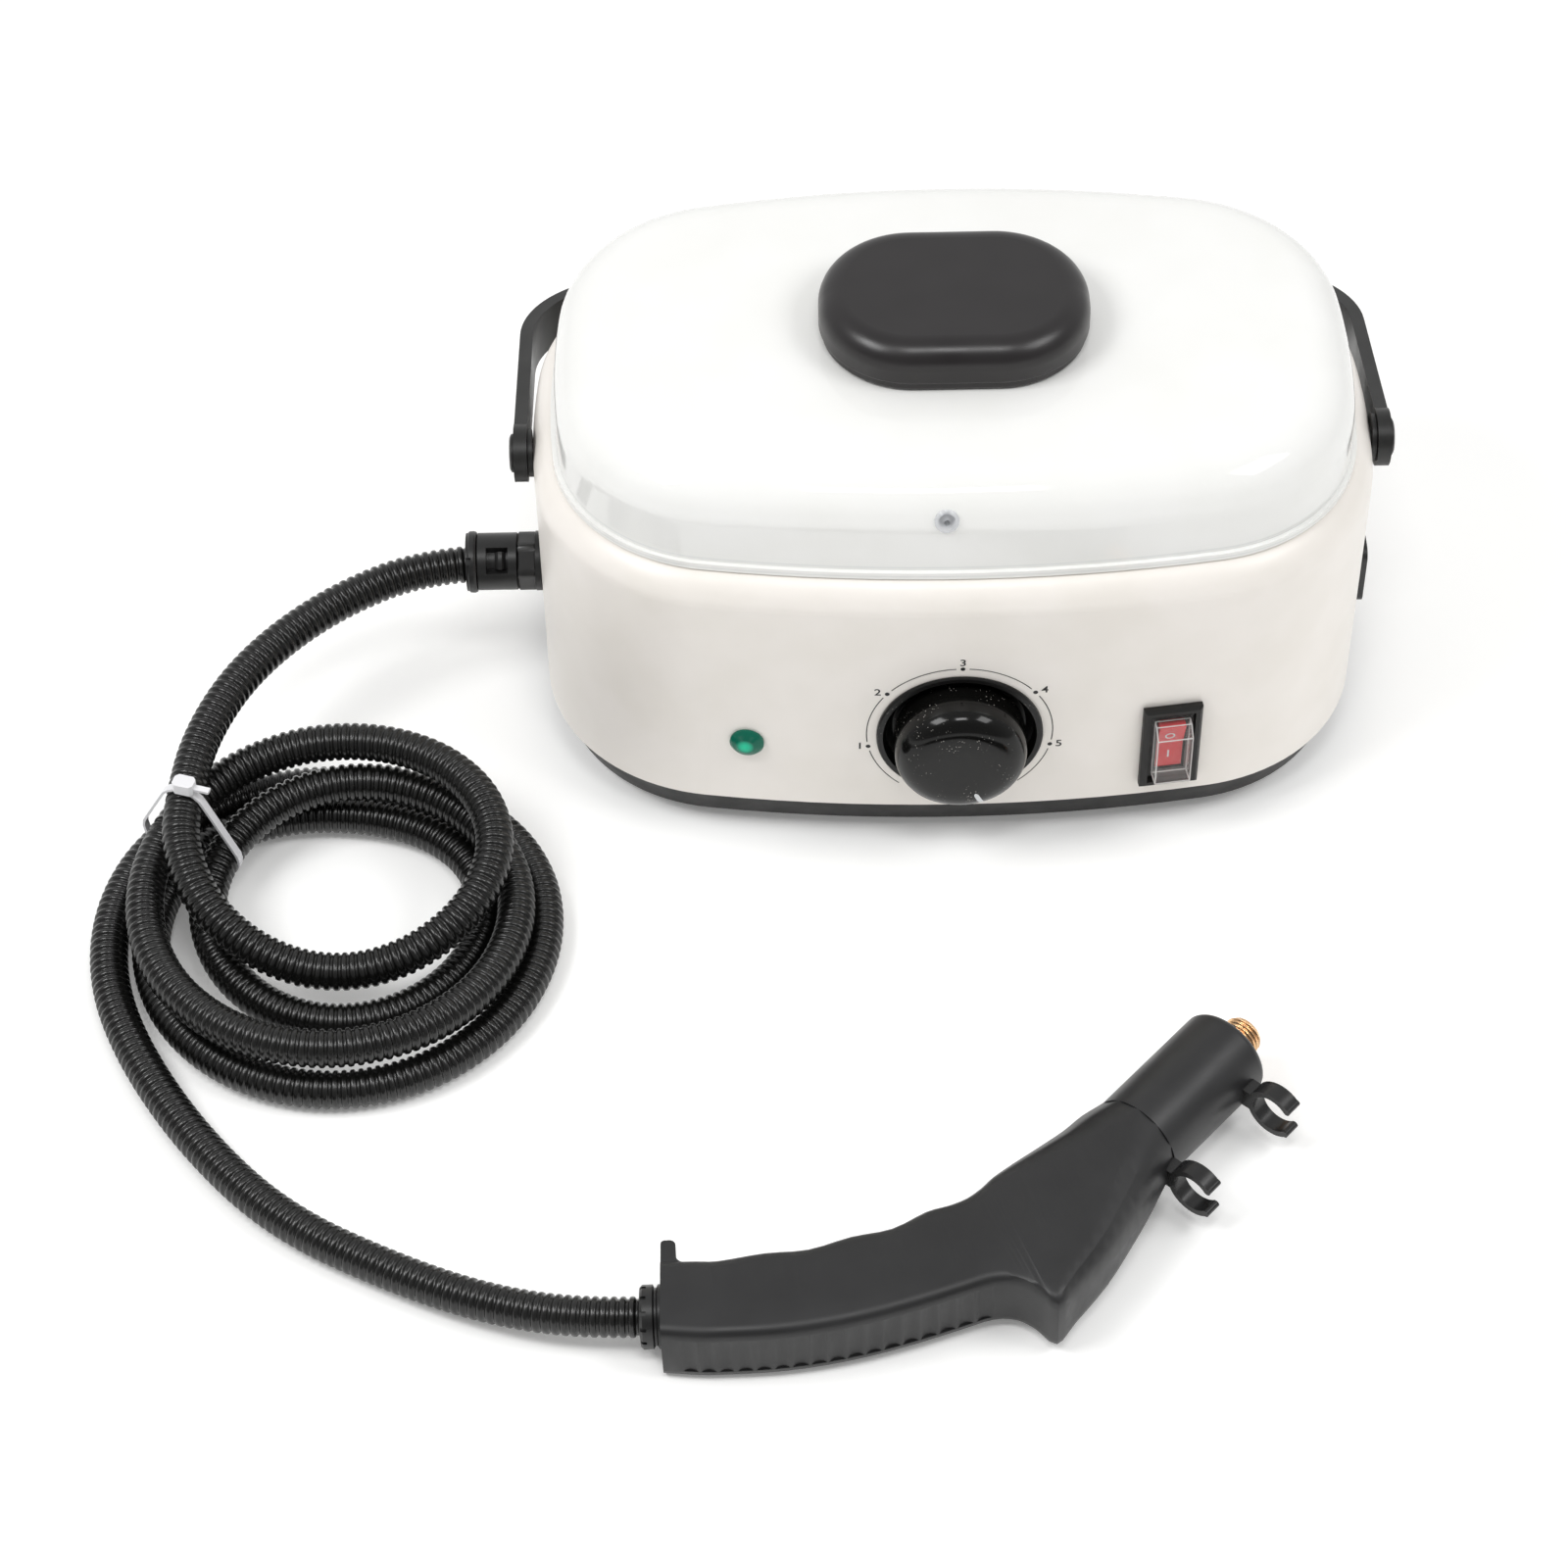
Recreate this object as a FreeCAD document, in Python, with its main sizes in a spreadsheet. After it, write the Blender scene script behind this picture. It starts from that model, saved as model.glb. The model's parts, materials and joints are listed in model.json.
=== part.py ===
import FreeCAD, Part
import math
import os
import Sketcher

# Wallpaper steamer: a water tank with a lift-off lid stands in an oval-sided housing that holds the pump
# and the boiler, and a corrugated hose leads to a pistol-shaped steam gun that lies in front of it.
# Origin: on the floor under the middle of the housing. +X right, +Y back, +Z up. All sizes in mm.

V = FreeCAD.Vector

# Driving sizes, one line each: alias, value.
SIZES = {
    # housing plan: two long arcs, two short arcs and four corner arcs, all tangent
    "body_half_width": 173.7, "body_half_depth": 111.6,
    "front_arc": 670.0, "side_arc": 350.0, "corner_arc": 80.0,
    # housing heights and wall
    "foot_height": 8.0, "base_height": 23.5, "widest_height": 134.0, "shoulder_radius": 14.0,
    "shell_wall": 2.5, "shell_taper": 0.3, "base_inset": 7.7, "seat_width": 10.0,
    # water tank
    "tank_wall": 2.0, "tank_floor_height": 84.0, "tank_clearance": 0.3, "tank_corner": 16.0,
    # lid
    "lid_rim_inset": 8.0, "lid_top_height": 190.2, "lid_wall": 2.5, "lid_edge_radius": 20.0,
    "lid_draft": 1.6, "lid_crown_radius": 5000.0, "lid_rim_thickness": 2.6,
    # lid knob
    "knob_half_width": 55.0, "knob_half_depth": 40.5, "knob_corner": 38.0,
    "knob_base_thickness": 4.0, "knob_cap_thickness": 17.0, "knob_round": 10.5,
    "knob_screw_spacing": 48.0, "knob_screw_radius": 2.0,
    # steam dial on the front
    "dial_height": 66.4, "dial_recess_radius": 34.2, "dial_recess_depth": 6.0, "dial_lip": 1.2,
    "dial_radius": 27.3, "dial_out": 20.0, "dial_round": 9.0, "shaft_radius": 3.0,
    # lamp and switch on the front
    "lamp_side": 87.2, "lamp_height": 58.7, "lamp_radius": 7.1,
    "switch_side": 87.4, "switch_height": 53.2, "switch_width": 24.6, "switch_tall": 45.0,
    "switch_out": 3.6, "rocker_width": 11.0, "rocker_tall": 27.0, "boot_width": 15.0, "boot_tall": 31.0,
    "boot_out": 9.5,
    # hose gland on the left, mains inlet on the right
    "port_height": 62.2, "gland_radius": 12.3, "gland_length": 32.4, "gland_flange": 13.4,
    "inlet_width": 50.0, "inlet_tall": 30.0, "inlet_out": 2.6, "inlet_height": 66.0,
    # carrying handle
    "pivot_back": -9.0, "handle_thickness": 5.6, "handle_width": 20.0, "handle_gap": 2.0,
    "handle_reach": 131.6, "handle_corner": 50.0, "handle_eye": 12.0, "handle_droop": 11.5,
    "pin_radius": 4.0, "pin_clearance": 0.06, "pin_head": 8.0, "pin_head_out": 1.6,
    # hose
    "hose_radius": 7.9, "hose_root": 6.9, "hose_bore": 5.4, "rib_pitch": 3.6,
    # steam gun: thickness, barrel, nozzle
    "grip_thickness": 29.0, "grip_round": 4.5, "grip_wall": 2.6, "barrel_radius": 19.1,
    "barrel_length": 58.4, "barrel_angle": 47.5, "nozzle_radius": 8.2, "nozzle_out": 12.3,
    "nozzle_bore": 3.0, "collar_radius": 12.2, "collar_length": 8.1,
    "clip_inner": 8.4, "clip_wall": 2.6, "clip_width": 7.0, "clip_reach": 32.5, "clip_spacing": 50.6,
    "gun_screw_radius": 1.5,
    "button_length": 22.0, "button_width": 12.0, "button_travel": 2.0, "button_out": 2.2,
}


class Size(float):
    """A length that remembers which cells of the sheet it comes from."""

    def __new__(cls, value, text):
        made = float.__new__(cls, value)
        made.text = text
        return made

    def joined(self, sign, other, value, first=True):
        text = other.text if isinstance(other, Size) else "%.6f" % float(other)
        pair = (self.text, sign, text) if first else (text, sign, self.text)
        return Size(value, "(%s %s %s)" % pair)

    def __add__(self, other):
        return self.joined("+", other, float(self) + float(other))

    def __radd__(self, other):
        return self.joined("+", other, float(other) + float(self), False)

    def __sub__(self, other):
        return self.joined("-", other, float(self) - float(other))

    def __rsub__(self, other):
        return self.joined("-", other, float(other) - float(self), False)

    def __mul__(self, other):
        return self.joined("*", other, float(self) * float(other))

    def __rmul__(self, other):
        return self.joined("*", other, float(other) * float(self), False)

    def __truediv__(self, other):
        return self.joined("/", other, float(self) / float(other))

    def __neg__(self):
        return Size(-float(self), "(-%s)" % self.text)


class Sizes:
    """The driving sizes by name, read back from the sheet."""


doc = FreeCAD.newDocument("WallpaperSteamer")
sheet = doc.addObject("Spreadsheet::Sheet", "Sizes")
for row, (alias, value) in enumerate(SIZES.items(), 1):
    sheet.set("A%d" % row, alias)
    sheet.set("B%d" % row, str(value))
    sheet.setAlias("B%d" % row, alias)
doc.recompute()
S = Sizes()
for alias in SIZES:
    setattr(S, alias, Size(float(sheet.get(alias)), "Sizes." + alias))

PARTS = []


# Building helpers

def bind(thing, prop, value):
    """Set a property, by an expression where the value comes from the sheet."""
    if isinstance(value, Size):
        thing.setExpression(prop, value.text)
    else:
        setattr(thing, prop, value)


def new_body(label):
    body = doc.addObject("PartDesign::Body", label)
    body.Label = label
    PARTS.append(body)
    return body


def origin_plane(body, role):
    return next(f for f in body.Origin.OriginFeatures if f.Role == role)


def new_sketch(body, name, role="XY_Plane", lift=0.0):
    """A sketch on one of the body's own planes, lifted along that plane's normal."""
    made = body.newObject("Sketcher::SketchObject", name)
    made.AttachmentSupport = [(origin_plane(body, role), "")]
    made.MapMode = "FlatFace"
    made.AttachmentOffset = FreeCAD.Placement(V(0, 0, float(lift)), FreeCAD.Rotation())
    if isinstance(lift, Size):
        made.setExpression("AttachmentOffset.Base.z", lift.text)
    return made


def hold(sketch, kind, *where_and_value):
    """Add one constraint, bound to the sheet where its value is a Size."""
    value = where_and_value[-1]
    index = sketch.addConstraint(Sketcher.Constraint(kind, *where_and_value[:-1], float(value)))
    if isinstance(value, Size):
        sketch.setExpression("Constraints[%d]" % index, value.text)


def outline(sketch, points):
    """A closed outline of straight lines, each corner held from the sketch's origin."""
    first = sketch.GeometryCount
    count = len(points)
    for i, (x, y) in enumerate(points):
        nx, ny = points[(i + 1) % count]
        sketch.addGeometry(Part.LineSegment(V(x, y, 0), V(nx, ny, 0)), False)
    for i, (x, y) in enumerate(points):
        after = first + (i + 1) % count
        sketch.addConstraint(Sketcher.Constraint("Coincident", first + i, 2, after, 1))
        hold(sketch, "DistanceX", -1, 1, first + i, 1, x)
        hold(sketch, "DistanceY", -1, 1, first + i, 1, y)


def rectangle(sketch, width, height, x=0.0, y=0.0):
    left, right = x - width / 2, x + width / 2
    low, high = y - height / 2, y + height / 2
    outline(sketch, [(left, low), (right, low), (right, high), (left, high)])


def circle(sketch, radius, x=0.0, y=0.0):
    index = sketch.GeometryCount
    sketch.addGeometry(Part.Circle(V(x, y, 0), V(0, 0, 1), float(radius)), False)
    hold(sketch, "DistanceX", -1, 1, index, 3, x)
    hold(sketch, "DistanceY", -1, 1, index, 3, y)
    hold(sketch, "Radius", index, radius)


def pad(body, name, sketch, length, both_ways=False, down=False):
    made = body.newObject("PartDesign::Pad", name)
    made.Profile = sketch
    bind(made, "Length", length)
    made.Midplane = both_ways
    made.Reversed = down
    body.Tip = made
    return made


def pocket(body, name, sketch, depth, up=False, both_ways=False):
    """A pocket that must take material away."""
    doc.recompute()
    before = body.Shape.Volume
    made = body.newObject("PartDesign::Pocket", name)
    made.Profile = sketch
    bind(made, "Length", depth)
    made.Reversed = up
    made.Midplane = both_ways
    body.Tip = made
    doc.recompute()
    if body.Shape.Volume > before - 1e-3:
        raise ValueError("pocket %s takes nothing away" % name)
    return made


def turn(body, name, sketch):
    """A full turn about the sketch's vertical axis."""
    made = body.newObject("PartDesign::Revolution", name)
    made.Profile = sketch
    made.ReferenceAxis = (sketch, ["V_Axis"])
    made.Angle = 360.0
    body.Tip = made
    return made


def soften(body, name, radius, wanted, kind="Fillet"):
    """Round or bevel the edges of the body's tip whose middle and direction are wanted."""
    doc.recompute()
    base = body.Tip
    picked = []
    for i, edge in enumerate(base.Shape.Edges, 1):
        if edge.Degenerated:
            continue
        middle = edge.valueAt((edge.FirstParameter + edge.LastParameter) / 2)
        along = edge.tangentAt((edge.FirstParameter + edge.LastParameter) / 2)
        if wanted(middle, along):
            picked.append("Edge%d" % i)
    if not picked:
        raise ValueError("%s finds no edge" % name)
    made = body.newObject("PartDesign::" + kind, name)
    made.Base = (base, picked)
    bind(made, "Radius" if kind == "Fillet" else "Size", radius)
    body.Tip = made
    doc.recompute()
    return made


def turned_piece(label, points, place=None):
    """A piece turned from a half profile of (radius, height) corners about its own Z axis."""
    body = new_body(label)
    profile = new_sketch(body, label + "_profile", "XZ_Plane")
    outline(profile, points)
    turn(body, label + "_turn", profile)
    if place is not None:
        body.Placement = place
    return body


def feature(label, shape, place=None):
    """A piece whose form comes from lofts, offsets or pipes."""
    made = doc.addObject("Part::Feature", label)
    made.Label = label
    made.Shape = shape
    if place is not None:
        made.Placement = place
    PARTS.append(made)
    return made


def turn_to(normal, spin=0.0):
    """The rotation that takes local Z to the given direction, keeping local Y as upright as it can."""
    z = V(*normal).normalize()
    x = V(0, 0, 1).cross(z)
    x = V(1, 0, 0) if x.Length < 1e-6 else x.normalize()
    return FreeCAD.Rotation(x, z.cross(x), z, "ZXY").multiply(FreeCAD.Rotation(V(0, 0, 1), spin))


# The housing's plan and its walls

def plan(inset, z):
    """The housing's plan at one height, as a wire of eight tangent arcs, all offset inwards alike."""
    a = float(S.body_half_width) - inset
    b = float(S.body_half_depth) - inset
    front, side, corner = (float(r) - inset for r in (S.front_arc, S.side_arc, S.corner_arc))
    # centre of the corner arc: it touches the long arc and the short arc from inside
    far_y, far_x = b - front, a - side
    reach_front, reach_side = front - corner, side - corner
    span = math.hypot(far_x, far_y)
    along = (reach_front ** 2 - reach_side ** 2 + span ** 2) / (2 * span)
    across = math.sqrt(reach_front ** 2 - along ** 2)
    ux, uy = far_x / span, -far_y / span
    cx = ux * along - uy * across
    cy = far_y + uy * along + ux * across
    if cx < 0 or cy < 0:
        cx = ux * along + uy * across
        cy = far_y + uy * along - ux * across
    tx, ty = cx / reach_front * front, far_y + (cy - far_y) / reach_front * front
    sx, sy = far_x + (cx - far_x) / reach_side * side, cy / reach_side * side
    bisect = V((tx + sx) / 2 - cx, (ty + sy) / 2 - cy, 0).normalize() * corner
    mx, my = cx + bisect.x, cy + bisect.y
    edges = [
        Part.Arc(V(-tx, ty, z), V(0, b, z), V(tx, ty, z)),
        Part.Arc(V(tx, ty, z), V(mx, my, z), V(sx, sy, z)),
        Part.Arc(V(sx, sy, z), V(a, 0, z), V(sx, -sy, z)),
        Part.Arc(V(sx, -sy, z), V(mx, -my, z), V(tx, -ty, z)),
        Part.Arc(V(tx, -ty, z), V(0, -b, z), V(-tx, -ty, z)),
        Part.Arc(V(-tx, -ty, z), V(-mx, -my, z), V(-sx, -sy, z)),
        Part.Arc(V(-sx, -sy, z), V(-a, 0, z), V(-sx, sy, z)),
        Part.Arc(V(-sx, sy, z), V(-mx, my, z), V(-tx, ty, z)),
    ]
    return Part.Wire([e.toShape() for e in edges])


def slab(inset_low, z_low, inset_high, z_high):
    """A solid between two plans, with straight walls."""
    return Part.makeLoft([plan(inset_low, z_low), plan(inset_high, z_high)], True, True)


def rounded_top(solid, z, radius):
    """The solid with the edges at height z rounded."""
    edges = [e for e in solid.Edges if abs(e.BoundBox.ZMin - z) < 1e-4 and abs(e.BoundBox.ZMax - z) < 1e-4]
    return solid.makeFillet(radius, edges)


TAPER = math.tan(math.radians(float(S.shell_taper)))
SHELL_TOP = float(S.widest_height + S.shoulder_radius)


def wall_inset(z):
    """How far the tapered wall lies inside the widest plan at a height."""
    return (float(S.widest_height) - z) * TAPER


def wall_point(x, z, side="front"):
    """A point on the outside of the housing's wall and the wall's outward normal there."""
    inset = wall_inset(z)
    lean = math.radians(float(S.shell_taper))
    if side == "front":
        radius = float(S.front_arc) - inset
        centre_y = -(float(S.body_half_depth) - inset) + radius
        swing = math.asin(x / radius)
        point = V(x, centre_y - radius * math.cos(swing), z)
        flat = V(math.sin(swing), -math.cos(swing), 0)
    else:
        sign = 1 if side == "right" else -1
        point = V(sign * (float(S.body_half_width) - inset), x, z)
        flat = V(sign, 0, 0)
    normal = flat * math.cos(lean) + V(0, 0, -math.sin(lean))
    return point, normal


def on_wall(x, z, side="front"):
    """The placement of a piece whose local Z points out of the housing's wall."""
    point, normal = wall_point(x, z, side)
    return FreeCAD.Placement(point, turn_to(normal))


def drill(place, radius, inwards=20.0, outwards=20.0):
    hole = Part.makeCylinder(radius, inwards + outwards, V(0, 0, -inwards))
    hole.Placement = place
    return hole


def block(place, width, height, low, high, x=0.0, y=0.0):
    made = Part.makeBox(width, height, high - low, V(x - width / 2, y - height / 2, low))
    made.Placement = place
    return made


DIAL = on_wall(0.0, float(S.dial_height))
LAMP = on_wall(-float(S.lamp_side), float(S.lamp_height))
SWITCH = on_wall(float(S.switch_side), float(S.switch_height))
GLAND = on_wall(0.0, float(S.port_height), "left")
INLET = on_wall(0.0, float(S.inlet_height), "right")
PIVOT_Z = float(S.widest_height) - 1.0
PIVOT_Y = float(S.pivot_back)
HANDLE_X = float(S.body_half_width + S.handle_gap)


def make_body_shell():
    """Housing: tapered wall with a rounded shoulder, open below, with a seat for the tank above."""
    wall = float(S.shell_wall)
    top = SHELL_TOP
    low, bottom = float(S.foot_height), float(S.base_height)
    outer = rounded_top(slab(wall_inset(bottom), bottom, wall_inset(top), top), top, float(S.shoulder_radius))
    inner = slab(wall_inset(bottom) + wall, bottom - 1, wall_inset(top) + wall, top - wall)
    inner = rounded_top(inner, top - wall, float(S.shoulder_radius) - wall)
    opening = wall_inset(top) + float(S.shoulder_radius + S.seat_width)
    shell = outer.cut(inner).cut(slab(opening, top - 20, opening, top + 5))
    shell = shell.cut(drill(DIAL, float(S.dial_recess_radius - S.dial_lip)))
    shell = shell.cut(drill(LAMP, float(S.lamp_radius) - 0.9))
    shell = shell.cut(block(SWITCH, float(S.switch_width) - 3, float(S.switch_tall) - 5, -20, 20))
    shell = shell.cut(drill(GLAND, GLAND_THREAD + 0.2))
    for x, y in BASE_SCREWS:
        post_low, post_high = float(S.foot_height + S.shell_wall), float(S.base_height) + 22
        out = V(math.copysign(POST_WEB, x), 0, 0) if y == 0 else V(0, math.copysign(POST_WEB, y), 0)
        web = Part.makeBox(3 if y else POST_WEB, POST_WEB if y else 3, post_high - bottom - 9)
        web.translate(V(x, y, bottom + 9) + out * 0.5 - V(web.BoundBox.XLength, web.BoundBox.YLength, 0) * 0.5)
        post = Part.makeCylinder(4.6, post_high - post_low, V(x, y, post_low)).fuse(web)
        post = post.common(slab(wall_inset(bottom) + 1, low - 1, wall_inset(top) + 1, top))
        shell = shell.fuse(post).cut(Part.makeCylinder(SCREW_RADIUS + 0.05, 13, V(x, y, low)))
    shell = shell.cut(block(INLET, 27.4, 20.4, -20, 20))
    for side in (-INLET_SCREW_SIDE, INLET_SCREW_SIDE):
        shell = shell.cut(drill(INLET.multiply(at(side, 0, 0)), INLET_SCREW_RADIUS + 0.05))
    for sign in (1, -1):
        bore = Part.makeCylinder(float(S.pin_radius) + 0.1, 60, V(0, PIVOT_Y, PIVOT_Z), V(sign, 0, 0))
        bore.translate(V(sign * (HANDLE_X - 40), 0, 0))
        shell = shell.cut(bore)
    feature("body_shell", shell)


def make_base():
    """Black base pan with a lip inside the housing, cooling slots, and four rubber feet."""
    wall = float(S.shell_wall)
    low, high = float(S.foot_height), float(S.base_height)
    edge = wall_inset(high) + 0.6
    inset_low = float(S.base_inset)
    pan = slab(inset_low, low, edge, high - 0.3)
    pan = pan.cut(slab(inset_low + wall, low + wall, edge + wall, high + 1))
    lip = slab(edge + wall + 0.1, low + wall, edge + wall + 0.1, high + 8)
    lip = lip.cut(slab(edge + 2 * wall, low + wall - 1, edge + 2 * wall, high + 9))
    inside = slab(inset_low + 0.5, low, edge + 0.5, high).fuse(slab(edge + 0.5, high, edge + 0.5, high + 9))
    pan = pan.fuse(lip.common(inside))
    for row in range(2):
        for i in range(9):
            slot = Part.makeBox(3, 34, 12, V(-52 + 12 * i, -70 + 90 * row, low - 4))
            pan = pan.cut(slot)
    for x, y in FEET:
        pan = pan.cut(Part.makeCylinder(3.1, 10, V(x, y, low - 2)))
    for x, y in BASE_SCREWS:
        pan = pan.cut(Part.makeCylinder(2.2, 10, V(x, y, low - 2)))
    feature("base_pan", pan)


GLAND_THREAD = 9.8
# Feet and screw posts keep their distance from the housing's sides.
WIDE, DEEP = float(S.body_half_width), float(S.body_half_depth)
FEET = [(sx * (WIDE - 51.7), sy * (DEEP - 41.6)) for sx in (-1, 1) for sy in (-1, 1)]
SCREW_RADIUS = 2.0
BASE_SCREWS = [(-60.0, 23.6 - DEEP), (60.0, 23.6 - DEEP), (63.7 - WIDE, DEEP - 27.6), (WIDE - 63.7, DEEP - 27.6),
               (22.7 - WIDE, 0.0), (WIDE - 22.7, 0.0)]
POST_WEB = 24.0


def group(label, solids):
    """Identical pieces kept as separate solids of one node."""
    return feature(label, Part.makeCompound(solids))


def turned_solid(points, place=None):
    """A turned solid from (radius, height) corners, for pieces that share a node."""
    wire = Part.makePolygon([V(r, 0, h) for r, h in points + points[:1]])
    solid = Part.Face(wire).revolve(V(0, 0, 0), V(0, 0, 1), 360)
    if place is not None:
        solid.Placement = place
    return solid


def hexagon(across_flats, low, high, place=None):
    corner = across_flats / math.sqrt(3)
    points = [V(corner * math.cos(math.radians(60 * i)), corner * math.sin(math.radians(60 * i)), low)
              for i in range(6)]
    solid = Part.Face(Part.makePolygon(points + points[:1])).extrude(V(0, 0, high - low))
    if place is not None:
        solid.Placement = place
    return solid


def at(x, y, z, normal=(0, 0, 1), spin=0.0):
    return FreeCAD.Placement(V(x, y, z), turn_to(normal, spin))


def make_feet():
    height = float(S.foot_height)
    profile = [(0, 0), (9.5, 0), (11, 1.2), (11.5, height), (2.9, height), (2.9, height + 3.2),
               (4.2, height + 3.4), (3.2, height + 6), (0, height + 6)]
    group("rubber_feet", [turned_solid(profile, at(x, y, 0)) for x, y in FEET])


def make_base_screws():
    """Six pan-head screws that hold the pan to posts of the housing."""
    low = float(S.foot_height)
    profile = [(0, low - 1.8), (3, low - 1.8), (3.6, low - 0.6), (3.6, low),
               (SCREW_RADIUS, low), (SCREW_RADIUS, low + 11), (0, low + 12)]
    group("base_screws", [turned_solid(profile, at(x, y, 0)) for x, y in BASE_SCREWS])


# Tank and lid

TANK_TOP = SHELL_TOP + float(S.tank_wall)
OPENING = wall_inset(SHELL_TOP) + float(S.shoulder_radius + S.seat_width)
TANK_OUTER = OPENING + float(S.tank_clearance)
TANK_INNER = TANK_OUTER + float(S.tank_wall)
OUTLET = (118.0, 30.0)


def make_water_tank():
    """White tank: a flange that rests on the housing and a round-bottomed basin with an outlet spout."""
    floor, wall = float(S.tank_floor_height), float(S.tank_wall)
    flange = wall_inset(SHELL_TOP) + float(S.shoulder_radius) + 0.8
    basin = slab(TANK_OUTER + 1.2, floor, TANK_OUTER, TANK_TOP)
    basin = rounded_top(basin, floor, float(S.tank_corner))
    hollow = slab(TANK_INNER + 1.2, floor + wall, TANK_INNER, TANK_TOP + 1)
    hollow = rounded_top(hollow, floor + wall, float(S.tank_corner) - wall)
    tank = basin.fuse(slab(flange, SHELL_TOP, flange, TANK_TOP))
    x, y = OUTLET
    tank = tank.fuse(Part.makeCylinder(9, 6, V(x, y, floor - 5)))
    tank = tank.fuse(Part.makeCylinder(4.2, 14, V(x, y, floor - 16)))
    tank = tank.cut(hollow)
    tank = tank.cut(Part.makeCylinder(2.6, 30, V(x, y, floor - 20)))
    feature("water_tank", tank)


def make_tank_filter():
    """Inlet filter cap over the tank's outlet."""
    floor = float(S.tank_floor_height + S.tank_wall)
    x, y = OUTLET
    turned_piece("tank_filter", [(0, 8), (7, 8), (8.5, 5), (8.5, 1.2), (10, 1.2), (10, 0), (3, 0), (3, 4), (0, 4)],
                 at(x, y, floor))


LID_SIDE = float(S.lid_rim_inset) + 1.8


def lid_solid(inset, low, high, radius, crown_z):
    """The lid's dome between two heights: nearly upright wall, crowned top and a rounded edge."""
    wall = slab(inset, low, inset + float(S.lid_draft), high + 20)
    crown = Part.makeSphere(float(S.lid_crown_radius), V(0, 0, crown_z - float(S.lid_crown_radius)))
    dome = wall.common(crown)
    edges = [e for e in dome.Edges if e.BoundBox.ZMin > high - 25]
    return dome.makeFillet(radius, edges)


def vent_place():
    """Where the vent sits on the lid's rounded front edge, and which way it faces."""
    lean = math.radians(20.0)
    radius = float(S.lid_edge_radius)
    y = -(float(S.body_half_depth) - LID_SIDE - 1.0 - radius)
    z = float(S.lid_top_height) - 0.8 - radius
    normal = V(0, -math.cos(lean), math.sin(lean))
    return FreeCAD.Placement(V(-7, y, z) + normal * radius, turn_to(normal))


def make_lid():
    """Clear lid: rim over the housing's shoulder, dome, and a skirt that finds the tank's mouth."""
    wall, top = float(S.lid_wall), float(S.lid_top_height)
    low = SHELL_TOP + 0.3
    rim_high = low + float(S.lid_rim_thickness)
    rim_inset = float(S.lid_rim_inset)
    ledge = TANK_TOP + 0.3
    skirt = TANK_INNER + 0.4
    inner = LID_SIDE + wall
    lid = lid_solid(LID_SIDE, low, top, float(S.lid_edge_radius), top)
    lid = lid.fuse(slab(rim_inset, low, rim_inset, rim_high))
    lid = lid.fuse(slab(rim_inset, low - 0.6, rim_inset, low).cut(slab(rim_inset + 1.5, low - 1, rim_inset + 1.5, low + 1)))
    hollow = lid_solid(inner, ledge + wall, top - wall, float(S.lid_edge_radius) - wall, top - wall)
    hollow = hollow.fuse(slab(inner, low - 2, inner, ledge))
    lid = lid.cut(hollow)
    lid = lid.fuse(slab(skirt, ledge - 8, skirt, ledge + wall).cut(slab(skirt + 2, ledge - 9, skirt + 2, ledge)))
    lid = lid.cut(slab(skirt + 2, ledge - 9, skirt + 2, ledge + wall))
    lid = lid.cut(drill(vent_place(), 3.3, 8, 8))
    for x in KNOB_SCREWS:
        lid = lid.cut(Part.makeCylinder(float(S.knob_screw_radius) + 0.2, 20, V(x, 0, top - 12)))
    feature("lid", lid)


def make_lid_vent():
    turned_piece("lid_vent", [(1.2, -4), (3, -4), (3, 0.7), (5, 0.7), (5, 1.3), (3.6, 2.6), (1.2, 2.8)], vent_place())


KNOB_SCREWS = (-float(S.knob_screw_spacing) / 2, float(S.knob_screw_spacing) / 2)


def knob_layer(label, inset, thickness, z):
    """One moulding of the knob: a rounded slab with the screw holes in it."""
    body = new_body(label)
    plan_sketch = new_sketch(body, label + "_plan")
    rectangle(plan_sketch, S.knob_half_width * 2 - inset * 2, S.knob_half_depth * 2 - inset * 2)
    pad(body, label + "_pad", plan_sketch, thickness)
    soften(body, label + "_corners", S.knob_corner - inset, lambda m, t: abs(t.z) > 0.9)
    body.Placement = at(0, 0, z)
    return body


def make_knob():
    """Black oval knob in two mouldings that meet at a seam, screwed from inside the lid."""
    seat = float(S.lid_top_height) + 0.3
    base = knob_layer("lid_knob_base", 1.0, S.knob_base_thickness, seat)
    holes = new_sketch(base, "lid_knob_base_holes", "XY_Plane", S.knob_base_thickness)
    for x in KNOB_SCREWS:
        circle(holes, S.knob_screw_radius + 0.2, x, 0.0)
    pocket(base, "lid_knob_base_drill", holes, S.knob_base_thickness)
    soften(base, "lid_knob_base_round", 1.6, lambda m, t: m.z < 0.01 and abs(m.x) + abs(m.y) > 34)
    cap = knob_layer("lid_knob_cap", 0.0, S.knob_cap_thickness, seat + float(S.knob_base_thickness))
    soften(cap, "lid_knob_cap_round", S.knob_round, lambda m, t: m.z > float(S.knob_cap_thickness) - 0.01)
    soften(cap, "lid_knob_cap_seam", 1.0, lambda m, t: m.z < 0.01)
    holes = new_sketch(cap, "lid_knob_cap_holes")
    for x in KNOB_SCREWS:
        circle(holes, S.knob_screw_radius + 0.05, x, 0.0)
    pocket(cap, "lid_knob_cap_drill", holes, 10.0, up=True)
    radius = float(S.knob_screw_radius)
    low = float(S.lid_top_height - S.lid_wall) - 0.5
    screw = [(0, low - 2.4), (3, low - 2.4), (4, low - 0.8), (4, low), (radius, low), (radius, low + 15), (0, low + 15)]
    group("lid_knob_screws", [turned_solid(screw, at(x, 0, 0)) for x in KNOB_SCREWS])


# Front panel

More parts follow.
